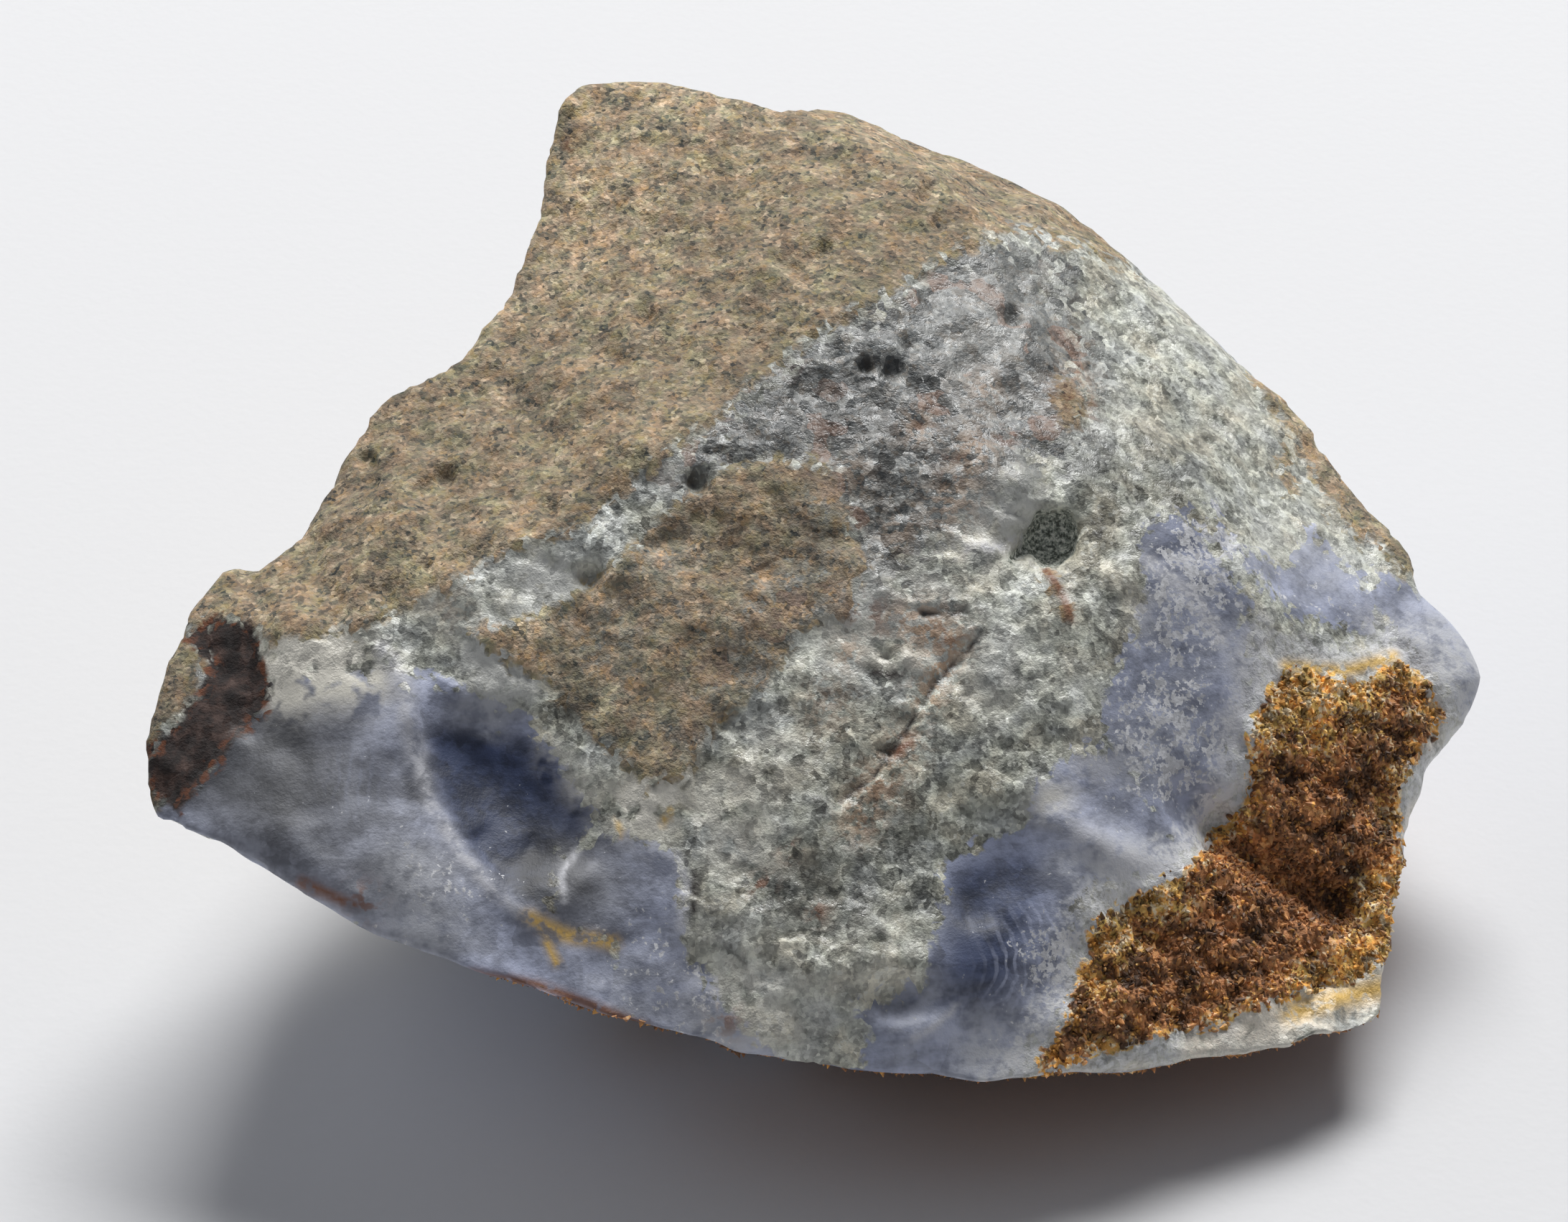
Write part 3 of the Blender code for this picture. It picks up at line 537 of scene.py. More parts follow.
def zone_fields(points, normals):
    """Every zone's depth at each point: the seen side by outlines, the hidden side by layers of the vein."""
    places = sight_plane(points)
    seen = soft_step(normals @ np.array(TOWARD), -0.12, 0.12)
    layer = vein_depth(points)
    layer = layer + np.array([3.0 * noise.noise(Vector(point) * 90) for point in points])
    underneath = (-normals[:, 2] - 0.75) * 12
    hidden_crust = np.minimum(layer - HIDDEN_CRUST_DEPTH, underneath)
    fields = {
        "host": seen * deepest(places, HOST_ZONES) + (1 - seen) * -layer,
        "blue": seen * deepest(places, BLUE_ZONES) + (1 - seen) * (layer - HIDDEN_QUARTZ_THICKNESS),
        "crust": seen * depth_inside(places, CRUST) + (1 - seen) * hidden_crust,
        "vug": np.where(seen > 0.5, depth_inside(places, DARK_VUG), -8),
        "grey": seen * depth_inside(places, GREY_ROCK) + (1 - seen) * np.minimum(layer + 1, 5 - layer),
        "film": np.where(seen > 0.3, depth_inside(places, IRON_FILM), -8),
    }
    fields = {name: np.clip(values, -8, 8) for name, values in fields.items()}
    # Lighter and darker patches: partly the stone's own, partly painted light and painted shade
    fields["tone_and_painted_light"] = seen * (patches(places, PALE_AND_LIT_PATCHES) - patches(places, DARK_AND_SHADED_PATCHES))
    for name, spots in SEEN_PATCHES.items():
        fields[name] = seen * patches(places, spots)
    for name, lines in SEEN_LINES.items():
        fields[name] = seen * along_lines(places, lines)
    fields["frost"] = seen * patches(places, FROST_PATCHES) + (1 - seen) * 0.3
    fields["lace"] = seen * patches(places, LACE_PATCHES) + (1 - seen)
    fields["band"] = seen * distance_to_path(places, LACE_CURVE) + (1 - seen) * layer
    eye = soft_step(depth_inside(places, BLUE_EYE), -0.5, 1.5)
    front = soft_step(depth_inside(places, DEEP_FRONT), -0.5, 2.5)
    fields["deep"] = seen * np.clip(eye + front * FRONT_DEPTH + patches(places, DEEP_AND_LEDGE_SHADE_PATCHES), 0, 1)
    return places, seen, fields


def broken(point, size):
    """Tilted planes in cells, which meet in small steps, as crystals break."""
    _, cells = noise.voronoi(point / size)
    return (point / size - cells[0]).dot(noise.cell_vector(cells[0] * 7.3))


def knobs(point, size):
    """Rounded knobs with narrow pits between them."""
    distances, _ = noise.voronoi(point / size)
    return 0.5 - 1.5 * distances[0] ** 2


def swell(point, size):
    """Soft rises and hollows."""
    return noise.noise(point / size)


def layered(kind, point, layers):
    """The sum of one kind of relief in layers of (size, height), in millimetres."""
    return sum(height * kind(point, size) for size, height in layers)


def relief_heights(points, places, seen, fields):
    """How far each point moves along its normal, in millimetres, and how deep it lies in the crust's pits."""
    host = soft_step(fields["host"], -0.3, 0.3)
    blue = soft_step(fields["blue"], -0.3, 0.5) * (1 - host)
    crust = soft_step(fields["crust"], -0.4, 0.4)
    film = soft_step(fields["film"], -0.4, 0.4)
    glassy = (1 - host) * (1 - blue) * (1 - crust) * (1 - film)
    heights = np.zeros(len(points))
    pits = np.zeros(len(points))
    for i, point in enumerate(points):
        here = Vector(point) / MILLIMETRE
        size, height = ALL_ROUGH
        rough = height * noise.fractal(here / size, 0.8, 2.0, 3)
        if crust[i] > 0:
            spongy = layered(knobs, here, CRUST_KNOBS)
            pits[i] = -spongy
            rough += crust[i] * spongy
        if host[i] > 0:
            rough += host[i] * (HOST_RISE + layered(swell, here, HOST_GRAINS))
        if blue[i] > 0:
            rough = rough * (1 - 0.8 * blue[i]) + blue[i] * layered(swell, here, BLUE_SWELL)
        if glassy[i] > 0:
            rough += glassy[i] * layered(broken, here, QUARTZ_STEPS)
        heights[i] = rough
    for path, half_width, depth in GROOVES:
        away = distance_to_path(places, path) / half_width
        heights -= seen * depth * np.exp(-away * away)
    for across, up, radius, depth in HOST_PITS:
        away = np.hypot(places[:, 0] - across, places[:, 1] - up) / radius
        heights -= seen * depth * np.exp(-(away**4))
    heights -= VUG_DEPTH * soft_step(fields["vug"], -0.3, 0.8)
    return heights, pits


def vertex_array(mesh, name):
    values = np.empty(len(mesh.vertices) * 3)
    source = mesh.vertices if name == "co" else mesh.vertex_normals
    source.foreach_get("co" if name == "co" else "vector", values)
    return values.reshape(-1, 3)


def finished_mesh(bm, name):
    """A new mesh of a bmesh, which is freed."""
    mesh = bpy.data.meshes.new(name)
    bm.to_mesh(mesh)
    bm.free()
    return mesh


def refined_copy(node):
    """A merged copy of a CAD node's mesh with each triangle in sixteen, rounded between its corners."""
    bm = bmesh.new()
    bm.from_mesh(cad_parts[node].data)
    bmesh.ops.remove_doubles(bm, verts=bm.verts[:], dist=1e-6)
    for _ in range(2):
        bmesh.ops.subdivide_edges(bm, edges=bm.edges[:], cuts=1, use_grid_fill=True)
        above_rest = [vert for vert in bm.verts if vert.co.z > 1e-6]
        bmesh.ops.smooth_vert(
            bm, verts=above_rest, factor=0.5, use_axis_x=True, use_axis_y=True, use_axis_z=True
        )
    return finished_mesh(bm, "dressed_stone")


def add_piece(mesh, name, material):
    """Links a finished mesh as a piece that rides on the stone's body."""
    mesh.materials.clear()
    mesh.materials.append(material)
    piece = bpy.data.objects.new(name, mesh)
    bpy.context.scene.collection.objects.link(piece)
    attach(piece, "root")
    return piece


class Nodes:
    """Adds nodes to a new material's tree, each with its inputs given by name as a value or a socket."""

    def __init__(self, name):
        self.material = bpy.data.materials.new(name)
        self.material.use_nodes = True
        self.tree = self.material.node_tree
        self.shader = self.tree.nodes["Principled BSDF"]
        self.made = {}
        self.place = self.scaled(self.add("ShaderNodeTexCoord", {}, "Object"), 1 / MILLIMETRE)

    def add(self, kind, inputs, output=0, **settings):
        node = self.tree.nodes.new(kind)
        for name, value in settings.items():
            setattr(node, name, value)
        for key, value in inputs.items():
            self.give(node.inputs[key], value)
        return node.outputs[output]

    def give(self, socket, value):
        if isinstance(value, bpy.types.NodeSocket):
            self.tree.links.new(value, socket)
        else:
            socket.default_value = value

    def surface(self, inputs):
        """Gives the shader its inputs."""
        for name, value in inputs.items():
            self.give(self.shader.inputs[name], value)

    def once(self, key, make):
        """The socket kept under this key, made the first time only."""
        if key not in self.made:
            self.made[key] = make()
        return self.made[key]

    def field(self, name):
        """A zone's depth or a patch's amount, which the mesh carries."""
        return self.once(name, lambda: self.add("ShaderNodeAttribute", {}, "Fac", attribute_name=name))

    def calc(self, operation, first, second=0.0, third=0.0):
        inputs = {0: first, 1: second, 2: third}
        return self.add("ShaderNodeMath", inputs, operation=operation)

    def times(self, first, second):
        return self.calc("MULTIPLY", first, second)

    def sum_of(self, first, share, second):
        """The first times its share, plus the second."""
        return self.calc("MULTIPLY_ADD", first, share, second)

    def cloud(self, size, detail=2.0, roughness=0.6, place=None):
        """Soft noise from 0 to 1 with spots of about this size in millimetres."""
        place = place or self.place
        inputs = {"Vector": place, "Scale": 1 / size, "Detail": detail, "Roughness": roughness}
        kind = (size, detail, roughness, place)
        return self.once(kind, lambda: self.add("ShaderNodeTexNoise", inputs, "Fac"))

    def cells(self, place, size):
        """Cells of about this size, each of one random colour."""
        return self.add("ShaderNodeTexVoronoi", {"Vector": place, "Scale": 1 / size}, "Color")

    def bent(self, size, amount):
        """The place, pushed about by soft noise, which bends straight edges."""
        inputs = {"Vector": self.place, "Scale": 1 / size, "Detail": 1.0}
        push = self.add("ShaderNodeTexNoise", inputs, "Color")
        push = self.add("ShaderNodeVectorMath", {0: push, 1: (0.5, 0.5, 0.5)}, operation="SUBTRACT")
        inputs = {0: push, 1: (amount, amount, amount), 2: self.place}
        return self.add("ShaderNodeVectorMath", inputs, operation="MULTIPLY_ADD")

    def numbers(self, colour):
        """The three channels of a colour."""
        node = self.tree.nodes.new("ShaderNodeSeparateColor")
        self.give(node.inputs[0], colour)
        return list(node.outputs)

    def span(self, value, low, high, to_low=0.0, to_high=1.0, smooth=True):
        inputs = {"Value": value, "From Min": low, "From Max": high, "To Min": to_low, "To Max": to_high}
        kind = "SMOOTHSTEP" if smooth else "LINEAR"
        return self.add("ShaderNodeMapRange", inputs, "Result", interpolation_type=kind)

    def blend(self, share, first, second, kind="MIX"):
        node = self.tree.nodes.new("ShaderNodeMix")
        node.data_type = "RGBA"
        node.blend_type = kind
        self.give(node.inputs["Factor"], share)
        self.give(node.inputs[6], first)
        self.give(node.inputs[7], second)
        return node.outputs[2]

    def laid(self, share, strength, first, second):
        """A second colour laid over the first, never stronger than strength."""
        return self.blend(self.times(share, strength), first, second)

    def number(self, share, first, second):
        """A number between two, by share."""
        return self.add("ShaderNodeMix", {0: share, 2: first, 3: second}, 0)

    def scaled(self, colour, factor):
        """A colour made lighter or darker."""
        return self.add("ShaderNodeVectorMath", {0: colour, "Scale": factor}, operation="SCALE")

    def inverse(self, share):
        return self.calc("SUBTRACT", 1.0, share)

    def steps(self, value, stops):
        """A colour ramp with stops of (place, colour)."""
        node = self.tree.nodes.new("ShaderNodeValToRGB")
        self.tree.links.new(value, node.inputs[0])
        ramp = node.color_ramp
        ramp.elements[0].position, ramp.elements[0].color = stops[0]
        ramp.elements[1].position, ramp.elements[1].color = stops[-1]
        for place, colour in stops[1:-1]:
            ramp.elements.new(place).color = colour
        return node.outputs["Color"]

    def bump(self, height, strength=1.0, **more):
        inputs = {"Height": height, "Distance": 1.0, "Strength": strength, **more}
        return self.add("ShaderNodeBump", inputs, "Normal")


def shade(colour, factor):
    """A colour made lighter or darker, with its alpha kept."""
    return tuple(min(channel * factor, 1.0) for channel in colour[:3]) + (1.0,)


def host_rock_colour(n, grains, colour):
    """Sandy brown grains, some olive, reddish or dark, in blotches."""
    stops = [
        (0.0, (0.04, 0.04, 0.036, 1)), (0.07, (0.06, 0.06, 0.05, 1)), (0.12, (0.16, 0.155, 0.115, 1)),
        (0.3, shade(colour, 0.72)), (0.55, colour[:]), (0.7, (0.40, 0.285, 0.14, 1)),
        (0.82, (0.42, 0.335, 0.22, 1)), (0.93, shade(colour, 1.45)), (1.0, shade(colour, 2.1)),
    ]
    base = n.blend(0.38, n.steps(grains.fine[0], stops), n.steps(grains.middle[0], stops))
    tint = n.steps(n.cloud(*MOTTLE), [
        (0.36, (1.10, 0.96, 0.90, 1)), (0.5, (1.0, 1.0, 1.0, 1)), (0.64, (0.94, 1.03, 0.92, 1)),
    ])
    base = n.blend(1.0, base, tint, "MULTIPLY")
    blotches = n.span(n.cloud(*BLOTCHES), 0.3, 0.72, 0.7, 1.3)
    # Lighter and darker by the patches, which are partly painted light and painted shade
    lightness = n.times(blotches, n.span(n.field("tone_and_painted_light"), -1.0, 1.0, 0.4, 1.6, False))
    specks = n.span(n.times(grains.middle[1], grains.fine[1]), 0.8, 0.84)
    return n.laid(specks, 0.75, n.scaled(base, lightness), SPECK_BLACK)


def grey_rock_colour(n, grains, colour):
    """Grey grains, blue-grey and brown ones among them, with brown chips."""
    stops = [
        (0.0, (0.045, 0.05, 0.05, 1)), (0.15, shade(colour, 0.5)), (0.4, shade(colour, 0.8)),
        (0.58, (0.13, 0.145, 0.15, 1)), (0.7, (0.21, 0.17, 0.125, 1)), (0.82, shade(colour, 1.15)),
        (1.0, shade(colour, 1.9)),
    ]
    base = n.blend(0.45, n.steps(grains.fine[1], stops), n.steps(grains.middle[1], stops))
    base = n.scaled(base, n.span(n.cloud(*BLOTCHES), 0.3, 0.7, 0.6, 1.3))
    chips = n.span(grains.coarse[0], 0.88, 0.9)
    chip = n.scaled(CHIP_BROWN, n.span(n.cloud(0.6), 0.3, 0.7, 0.5, 1.5))
    return n.laid(chips, 0.65, base, chip)


def quartz_colour(n, grains, colour):
    """Broken clear quartz: crooked facets, dark, greenish, grey or cream, with small painted highlights and
    specks of painted shade between the facets.
    """
    drawn = n.add("ShaderNodeMapping", {0: n.place, "Scale": QUARTZ_SCALE})
    mottle = n.cloud(*MOTTLE)
    facets = n.sum_of(grains.coarse[1], 0.2, n.times(grains.middle[2], 0.28))
    facets = n.sum_of(grains.fine[2], 0.3, facets)
    clouds = n.calc("ADD", n.cloud(1.0, 4.0, 0.7, drawn), mottle)
    lightness = n.sum_of(clouds, 0.6, n.calc("SUBTRACT", facets, 0.49))
    base = n.steps(lightness, [
        (0.22, shade(colour, 0.36)), (0.38, shade(colour, 0.7)), (0.5, colour[:]),
        (0.62, shade(colour, 1.25)), (0.78, shade(colour, 1.8)),
    ])
    tint = n.steps(n.cloud(3.5), [
        (0.36, (0.97, 1.0, 1.06, 1)), (0.5, (0.99, 1.01, 0.97, 1)), (0.64, (1.06, 1.0, 0.9, 1)),
    ])
    base = n.blend(1.0, base, tint, "MULTIPLY")
    # Painted highlights: small bright specks on the facets
    painted_glints = n.span(n.sum_of(mottle, 0.3, grains.fine[0]), 1.05, 1.09)
    base = n.laid(painted_glints, 0.6, base, shade(colour, 1.9))
    # Painted shade: small dark specks between the facets
    gap_shade = n.span(n.sum_of(mottle, 0.3, grains.fine[1]), 0.24, 0.2)
    return n.laid(gap_shade, 0.5, base, shade(colour, 0.25))


def chalcedony_colour(n, grains, settings):
    """Milky blue with paler lace bands, clear dark depths and streaks, and painted shade below the ledge at
    the front.
    """
    milk = settings.chalcedony_colour
    drawn = n.add("ShaderNodeMapping", {0: n.place, "Rotation": STREAK_TURN, "Scale": STREAK_SCALE})
    milky = n.times(n.calc("ADD", n.cloud(1.0, 4.0, place=drawn), n.cloud(*MOTTLE)), 0.5)
    milky = n.sum_of(grains.coarse[2], 0.08, n.calc("SUBTRACT", milky, 0.04))
    base = n.blend(n.span(milky, 0.38, 0.62), shade(milk, 0.62), shade(milk, 1.3))
    base = n.scaled(base, n.span(n.field("frost"), 0.0, 1.0, 1.0, 0.8, False))
    base = n.scaled(base, n.span(n.field("smoke"), 0.0, 1.0, 1.0, 0.72, False))
    clear = n.scaled(settings.deep_colour[:3], n.span(milky, 0.38, 0.62, 0.6, 1.8))
    # Clear dark depths; below the ledge at the front this is painted shade
    base = n.blend(n.field("deep"), base, clear)
    vivid = n.span(n.field("smoke"), 0.0, 1.0, 1.05, 0.35, False)
    base = n.add("ShaderNodeHueSaturation", {"Color": base, "Saturation": vivid}, "Color")
    wavy = n.sum_of(n.cloud(2.5), 1.2, n.field("band"))
    turns = n.times(wavy, 2 * math.pi * MILLIMETRE / settings.band_pitch)
    band = n.times(n.span(n.calc("SINE", turns), 0.1, 0.9), n.span(n.field("lace"), 0.15, 0.7))
    band = n.times(band, n.span(n.cloud(0.9), 0.35, 0.55, 0.3, 1.0))
    return n.laid(band, 0.55, base, shade(milk, 1.4))


def crust_colour(n, settings):
    """Rusty brown, with painted shade nearly black in the pits and painted light orange on the knobs; yellow
    and cream along the crust's edge.
    """
    spots = n.sum_of(n.cloud(*SPOTS), 0.7, n.times(n.cloud(4.0), 0.35))
    # Painted shade and light: darker where the crust's pits lie deep, lighter on its knobs
    spots = n.sum_of(n.field("pit"), -0.26, spots)
    base = n.steps(spots, [
        (0.4, shade(settings.rust_colour, 0.16)), (0.5, shade(settings.rust_colour, 0.5)),
        (0.62, shade(settings.rust_colour, 1.4)), (0.74, shade(settings.rust_colour, 2.4)),
    ])
    yellow, ochre = settings.fringe_colour[:], settings.ochre_colour[:]
    fringe = n.blend(n.span(n.cloud(0.9), 0.4, 0.6), yellow, ochre)
    fringe = n.blend(n.span(n.cloud(0.7), 0.51, 0.61), fringe, FRINGE_CREAM)
    fringe = n.scaled(fringe, n.span(spots, 0.42, 0.6, 0.75, 1.45))
    patchy = n.times(n.field("fringe"), n.span(n.cloud(*MOTTLE), 0.36, 0.56, 0.3, 1.3))
    near = n.calc("ADD", n.field("crust"), n.span(n.cloud(0.9), 0.3, 0.7, -1.0, 1.0))
    edge = n.calc("MAXIMUM", n.span(patchy, 0.2, 0.6), n.span(near, 0.6, -0.1))
    return n.blend(edge, base, fringe)


Grains = collections.namedtuple("Grains", "fine middle coarse")


def stone_material():
    """Host rock, grey rock, quartz, chalcedony and rust in one material, mixed by the zones' depths."""
    settings = bpy.context.scene.agate_stone
    crust_settings = bpy.context.scene.agate_crust
    n = Nodes("broken_agate")
    crooked = n.bent(1.2, 1.1)
    facets = n.cells(crooked, 0.8)
    grains = Grains(n.numbers(n.cells(n.place, 0.29)), n.numbers(facets), n.numbers(n.cells(crooked, 1.9)))
    ragged = n.sum_of(n.cloud(0.9), 2.6, -1.3)
    ragged = n.calc("ADD", ragged, n.sum_of(grains.middle[0], 1.4, -0.7))
    tone_and_painted_light = n.field("tone_and_painted_light")

    def zone(name, low=-0.12, high=0.12, raggedness=1.0):
        return n.span(n.sum_of(ragged, raggedness, n.field(name)), low, high)

    def speckle(name, size, low, high, least=0.0):
        return n.times(n.field(name), n.span(n.cloud(size), low, high, least, 1.0))

    host = zone("host", -0.35, 0.35, 0.7)
    blue = zone("blue", -0.15, 0.3, 0.8)
    crust = zone("crust", raggedness=0.6)
    film = zone("film", -0.3, 0.3, 0.5)

    grey = grey_rock_colour(n, grains, settings.grey_colour)
    colour = n.blend(zone("grey", -1.5, 1.5, 2.0), quartz_colour(n, grains, settings.quartz_colour), grey)
    colour = n.blend(blue, colour, chalcedony_colour(n, grains, settings))
    # Darker in the darker patches: partly the stone's own, partly painted shade
    colour = n.scaled(colour, n.span(tone_and_painted_light, -1.0, 0.0, 0.3, 1.0, False))
    # Whiter in the lighter patches: partly the stone's own, partly painted light
    pale = n.times(n.calc("MAXIMUM", tone_and_painted_light, 0.0), n.span(n.cloud(0.9), 0.3, 0.6, 0.35, 1.0))
    colour = n.laid(pale, 0.8, colour, n.blend(blue, QUARTZ_WHITE, CHALCEDONY_WHITE))

    crowd = n.span(n.field("frost"), 0.0, 1.0, 0.44, 0.11, False)
    flecks = n.calc("SUBTRACT", n.sum_of(grains.middle[1], 0.25, n.cloud(*CRISP)), crowd)
    flecks = n.times(n.span(flecks, 0.49, 0.52), blue)
    colour = n.laid(flecks, 0.85, colour, n.scaled(FROST, n.span(grains.fine[1], 0.0, 1.0, 0.7, 1.3, False)))

    colour = n.laid(speckle("cream", 1.8, 0.35, 0.55), 0.85, colour, settings.cream_colour[:])
    border = n.span(n.sum_of(ragged, 0.8, n.field("crust")), -3.2, -1.2)
    border = n.times(border, n.span(n.cloud(*CRISP), 0.4, 0.56, 0.4, 1.0))
    border_colour = n.blend(n.span(n.field("cream"), 0.2, 0.9), BORDER_WHITE, BORDER_CREAM)
    colour = n.laid(border, 0.85, colour, border_colour)
    colour = n.laid(speckle("rim", 0.9, 0.35, 0.55, 0.35), 0.8, colour, RIM_WHITE)
    colour = n.blend(speckle("ochre", 0.9, 0.35, 0.5, 0.2), colour, crust_settings.ochre_colour[:])
    colour = n.laid(speckle("tan", 0.6, 0.42, 0.54), 0.85, colour, TAN_STAIN)

    rock = host_rock_colour(n, grains, settings.host_colour)
    rock = n.blend(speckle("mixed", 0.9, 0.42, 0.5), rock, n.scaled(grey, 1.35))
    colour = n.blend(host, colour, rock)
    stain = n.calc("MAXIMUM", speckle("stain", 0.9, 0.46, 0.6), speckle("rust", 0.9, 0.3, 0.5, 0.3))
    colour = n.blend(stain, colour, IRON_STAIN)
    # Painted shade along the cracks
    colour = n.blend(speckle("line", 0.9, 0.3, 0.5, 0.4), colour, CRACK_SHADE_BLACK)

    film_colour = n.steps(n.cloud(1.3, 3.0), [
        (0.35, (0.013, 0.009, 0.008, 1)), (0.5, (0.028, 0.017, 0.014, 1)), (0.62, (0.06, 0.033, 0.025, 1)),
        (0.75, (0.13, 0.085, 0.07, 1)),
    ])
    film_edge = n.span(n.sum_of(ragged, 0.5, n.field("film")), 0.9, 0.3)
    film_edge = n.times(film_edge, n.span(n.cloud(0.9), 0.48, 0.6))
    colour = n.blend(film, colour, n.laid(film_edge, 0.6, film_colour, FILM_RED))
    colour = n.blend(crust, colour, crust_colour(n, crust_settings))
    speckled = n.steps(n.cloud(*DUST), [
        (0.38, (0.10, 0.11, 0.09, 1)), (0.5, (0.42, 0.45, 0.39, 1)), (0.64, (1.0, 1.0, 0.9, 1)),
    ])
    colour = n.blend(zone("vug", -0.2, 0.4, 0.4), colour, speckled)

    rough = n.span(n.cloud(0.6), 0.3, 0.7, 0.3, 0.6)
    rough = n.number(n.calc("MAXIMUM", host, film), rough, 0.85)
    rough = n.number(crust, n.number(blue, rough, 0.58), 0.7)

    glassy = n.times(n.times(n.inverse(blue), n.inverse(host)), n.inverse(crust))
    tilt = n.add("ShaderNodeVectorMath", {0: facets, 1: (0.5, 0.5, 0.5)}, operation="SUBTRACT")
    normal = n.add("ShaderNodeNewGeometry", {}, "Normal")
    tilt = n.scaled(tilt, n.times(glassy, 0.28))
    normal = n.add("ShaderNodeVectorMath", {0: normal, 1: tilt}, operation="ADD")
    normal = n.add("ShaderNodeVectorMath", {0: normal}, operation="NORMALIZE")
    height = n.times(n.cloud(*DUST), 0.16 * MILLIMETRE)
    strength = n.number(blue, n.number(glassy, 0.9, 0.6), 0.28)
    bump = n.bump(height, strength, Normal=normal)
    n.surface({"Base Color": colour, "Roughness": rough, "Normal": bump, "IOR": QUARTZ_IOR})
    return n.material


def crystal_material():
    """Iron-stained quartz crystals, brown among the dark ones and yellow near the crust's edge, with painted
    shade at their feet.
    """
    settings = bpy.context.scene.agate_crust
    n = Nodes("rusty_crystals")
    own = n.field("own_shade")
    yellow = settings.fringe_colour[:]
    colour = n.laid(n.span(own, 0.7, 1.0, smooth=False), 0.35, crust_colour(n, settings), yellow)
    colour = n.scaled(colour, n.span(own, 0.0, 1.0, 0.5, 1.7, False))
    # Painted shade: darker toward each crystal's foot
    colour = n.blend(n.span(n.field("root"), 0.0, 0.8, 0.5, 0.0), colour, CRYSTAL_FOOT_SHADE)
    rough = n.span(n.cloud(0.6), 0.3, 0.7, 0.5, 0.8)
    bump = n.bump(n.times(n.cloud(0.2, 1.0), 0.06 * MILLIMETRE), 0.6)
    n.surface({"Base Color": colour, "Roughness": rough, "Normal": bump, "IOR": QUARTZ_IOR})
    return n.material


def paper_material(colour):
    """Smooth pale paper with a faint fibre."""
    n = Nodes("pale_paper")
    fibre = n.cloud(0.8, 1.0)
    paper = n.blend(fibre, shade(colour, 0.985), shade(colour, 1.0))
    bump = n.bump(n.times(fibre, 0.02 * MILLIMETRE))
    n.surface({"Base Color": paper, "Normal": bump, "Roughness": 0.8, "Specular IOR Level": 0.2})
    return n.material


def store_field(mesh, name, values):
    attribute = mesh.attributes.new(name, "FLOAT", "POINT")
    attribute.data.foreach_set("value", np.asarray(values, np.float32))


class AGATE_OT_dress_stone(bpy.types.Operator):
    """Gives the stone its broken surface and its zones of host rock, quartz, chalcedony and rust"""

    bl_idname = "agate.dress_stone"
    bl_label = "Dress the Stone"

    def execute(self, context):
        mesh = refined_copy(STONE_NODE)
        points, normals = vertex_array(mesh, "co"), vertex_array(mesh, "normal")
        places, seen, fields = zone_fields(points, normals)
        heights, fields["pit"] = relief_heights(points, places, seen, fields)
        heights *= context.scene.agate_stone.relief * soft_step(points[:, 2] / MILLIMETRE, 0.0, 1.0)
        points += normals * heights[:, None] * MILLIMETRE
        points[:, 2] = np.maximum(points[:, 2], 0)
        mesh.vertices.foreach_set("co", points.ravel())
        for name, values in fields.items():
            store_field(mesh, name, values)
        mesh.shade_smooth()
        mesh.set_sharp_from_angle(angle=math.radians(38))
        stone = add_piece(mesh, "dressed_agate", stone_material())
        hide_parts(STONE_NODE)
        return {"FINISHED"}


def add_crystal(bm, seat, width, rng):
    """One six-sided crystal point, leaning a little out of the surface's normal, and its own shade."""
    lean = Vector((rng.uniform(-1, 1), rng.uniform(-1, 1), rng.uniform(-1, 1))) * CRYSTAL_LEAN
    along = (seat.normal + lean).normalized()
    length = width * rng.uniform(0.5, 1.1)
    upright = along.to_track_quat("Z", "Y").to_matrix().to_4x4()
    turn = Matrix.Rotation(rng.uniform(0, math.pi), 4, "Z")
    matrix = Matrix.Translation(seat.center + along * (length * 0.5 - width * CRYSTAL_SINK)) @ upright @ turn
    made = bmesh.ops.create_cone(
        bm, cap_ends=True, segments=6, radius1=width * 0.5, radius2=0, depth=length, matrix=matrix
    )
    tint = rng.random()
    for vert in made["verts"]:
        vert[bm.verts.layers.float["own_shade"]] = tint
        # How high above its seat each corner stands, for the painted shade at the foot
        vert[bm.verts.layers.float["root"]] = (vert.co - seat.center).dot(seat.normal) / width


def grow_batch(seats, width, rng):
    """The mesh of a few crystals: a small bmesh is quick to add to."""
    bm = bmesh.new()
    for name in CARRIED + ("own_shade", "root"):
        bm.verts.layers.float.new(name)
    layers = [bm.verts.layers.float[name] for name in CARRIED]
    for seat, carried in seats:
        grown = len(bm.verts)
        add_crystal(bm, seat, width * rng.uniform(0.6, 1.6), rng)
        bm.verts.ensure_lookup_table()
        for vert in bm.verts[grown:]:
            for layer, value in zip(layers, carried):
                vert[layer] = value
    return finished_mesh(bm, "crystal_batch")


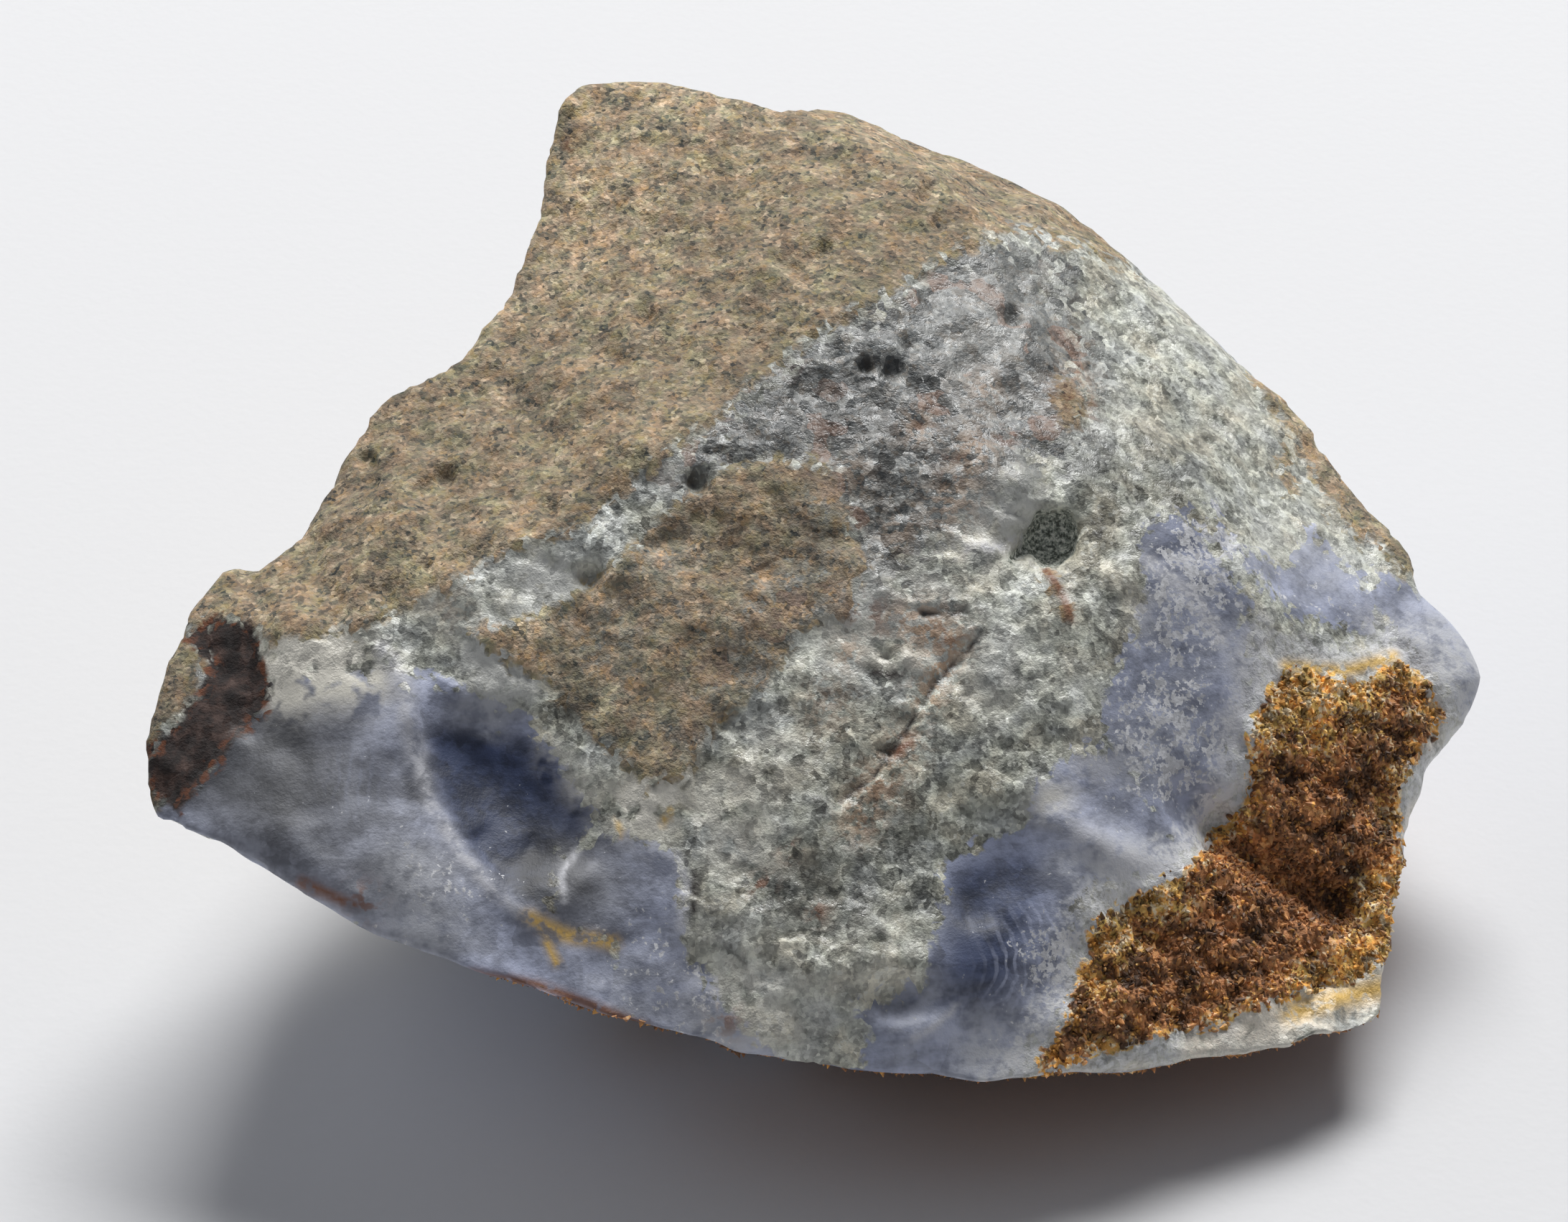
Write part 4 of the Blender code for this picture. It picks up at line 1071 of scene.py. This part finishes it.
class AGATE_OT_grow_crust(bpy.types.Operator):
    """Grows the crust of tiny rusty quartz crystals on the stone"""

    bl_idname = "agate.grow_crust"
    bl_label = "Grow the Crystal Crust"

    def execute(self, context):
        settings = context.scene.agate_crust
        stone = bpy.data.objects["dressed_agate"].data
        carried = np.empty((len(CARRIED), len(stone.vertices)), np.float32)
        for name, values in zip(CARRIED, carried):
            stone.attributes[name].data.foreach_get("value", values)
        rng = random.Random(4)
        seats = []
        for polygon in stone.polygons:
            if polygon.center.z < LOWEST_CRYSTAL:
                continue
            values = carried[:, polygon.vertices[0]]
            crowding = min(max((values[0] + 0.3) / 0.8, 0), 1)
            wanted = polygon.area / MILLIMETRE**2 * settings.crystals_per_square_mm * crowding
            whole, part = divmod(wanted, 1)
            for _ in range(int(whole) + (rng.random() < part)):
                seats.append((polygon, values))
        bm = bmesh.new()
        for first in range(0, len(seats), CRYSTAL_BATCH):
            batch = grow_batch(seats[first : first + CRYSTAL_BATCH], settings.crystal_width, rng)
            bm.from_mesh(batch)
            bpy.data.meshes.remove(batch)
        add_piece(finished_mesh(bm, "crystal_crust"), "crystal_crust", crystal_material())
        return {"FINISHED"}


def add_area_light(name, place, size, power):
    """A soft light of (width, height) that faces the stone."""
    light = bpy.data.lights.new(name, "AREA")
    light.shape = "RECTANGLE"
    light.size, light.size_y = size
    light.energy = power
    lamp = bpy.data.objects.new(name, light)
    lamp.location = place
    lamp.rotation_euler = (LIT_PLACE - place).to_track_quat("-Z", "Y").to_euler()
    bpy.context.scene.collection.objects.link(lamp)


class AGATE_OT_set_stage(bpy.types.Operator):
    """Sets the pale floor, the soft lights and the camera"""

    bl_idname = "agate.set_stage"
    bl_label = "Set the Stage"

    def execute(self, context):
        settings = context.scene.agate_stage
        bm = bmesh.new()
        bmesh.ops.create_grid(bm, x_segments=1, y_segments=1, size=settings.floor_width / 2)
        mesh = finished_mesh(bm, "floor")
        mesh.materials.append(paper_material(settings.floor_colour))
        floor = bpy.data.objects.new("floor", mesh)
        context.scene.collection.objects.link(floor)

        add_area_light("key_light", KEY_PLACE, KEY_SIZE, settings.key_power)
        add_area_light("side_light", SIDE_PLACE, SIDE_SIZE, settings.side_power)
        world = bpy.data.worlds.new("soft_surroundings")
        world.use_nodes = True
        background = world.node_tree.nodes["Background"]
        background.inputs["Color"].default_value = FILL_COLOUR
        background.inputs["Strength"].default_value = settings.fill_strength
        context.scene.world = world
        context.scene.view_settings.view_transform = "Standard"

        camera = bpy.data.cameras.new("camera")
        camera.lens = camera.sensor_width * EYE_DISTANCE / FRAME_WIDTH
        camera.clip_start = 0.05
        viewer = bpy.data.objects.new("camera", camera)
        viewer.location = (SIGHT_MIDDLE + TOWARD * EYE_DISTANCE) * MILLIMETRE
        viewer.rotation_euler = (-TOWARD).to_track_quat("-Z", "Y").to_euler()
        context.scene.collection.objects.link(viewer)
        context.scene.camera = viewer
        return {"FINISHED"}


class AGATE_PT_specimen(bpy.types.Panel):
    """Lists the steps that dress the specimen, with their settings"""

    bl_idname = "AGATE_PT_specimen"
    bl_label = "Agate Specimen"
    bl_space_type = "VIEW_3D"
    bl_region_type = "UI"
    bl_category = "Agate"

    def draw(self, context):
        for settings, operator in STEPS:
            column = self.layout.column()
            group = getattr(context.scene, settings)
            for name in group.__annotations__:
                column.prop(group, name)
            column.operator(operator)


STEPS = [
    ("agate_stone", "agate.dress_stone"),
    ("agate_crust", "agate.grow_crust"),
    ("agate_stage", "agate.set_stage"),
]
SETTINGS = {
    "agate_stone": AgateStoneSettings,
    "agate_crust": AgateCrustSettings,
    "agate_stage": AgateStageSettings,
}
CLASSES = [
    AgateStoneSettings, AgateCrustSettings, AgateStageSettings,
    AGATE_OT_dress_stone, AGATE_OT_grow_crust, AGATE_OT_set_stage, AGATE_PT_specimen,
]


def register():
    for cls in CLASSES:
        bpy.utils.register_class(cls)
    for name, group in SETTINGS.items():
        setattr(bpy.types.Scene, name, bpy.props.PointerProperty(type=group))


def unregister():
    for name in SETTINGS:
        delattr(bpy.types.Scene, name)
    for cls in reversed(CLASSES):
        bpy.utils.unregister_class(cls)


def main():
    register()
    bpy.ops.agate.dress_stone()
    bpy.ops.agate.grow_crust()
    bpy.ops.agate.set_stage()


if __name__ == "__main__":
    main()
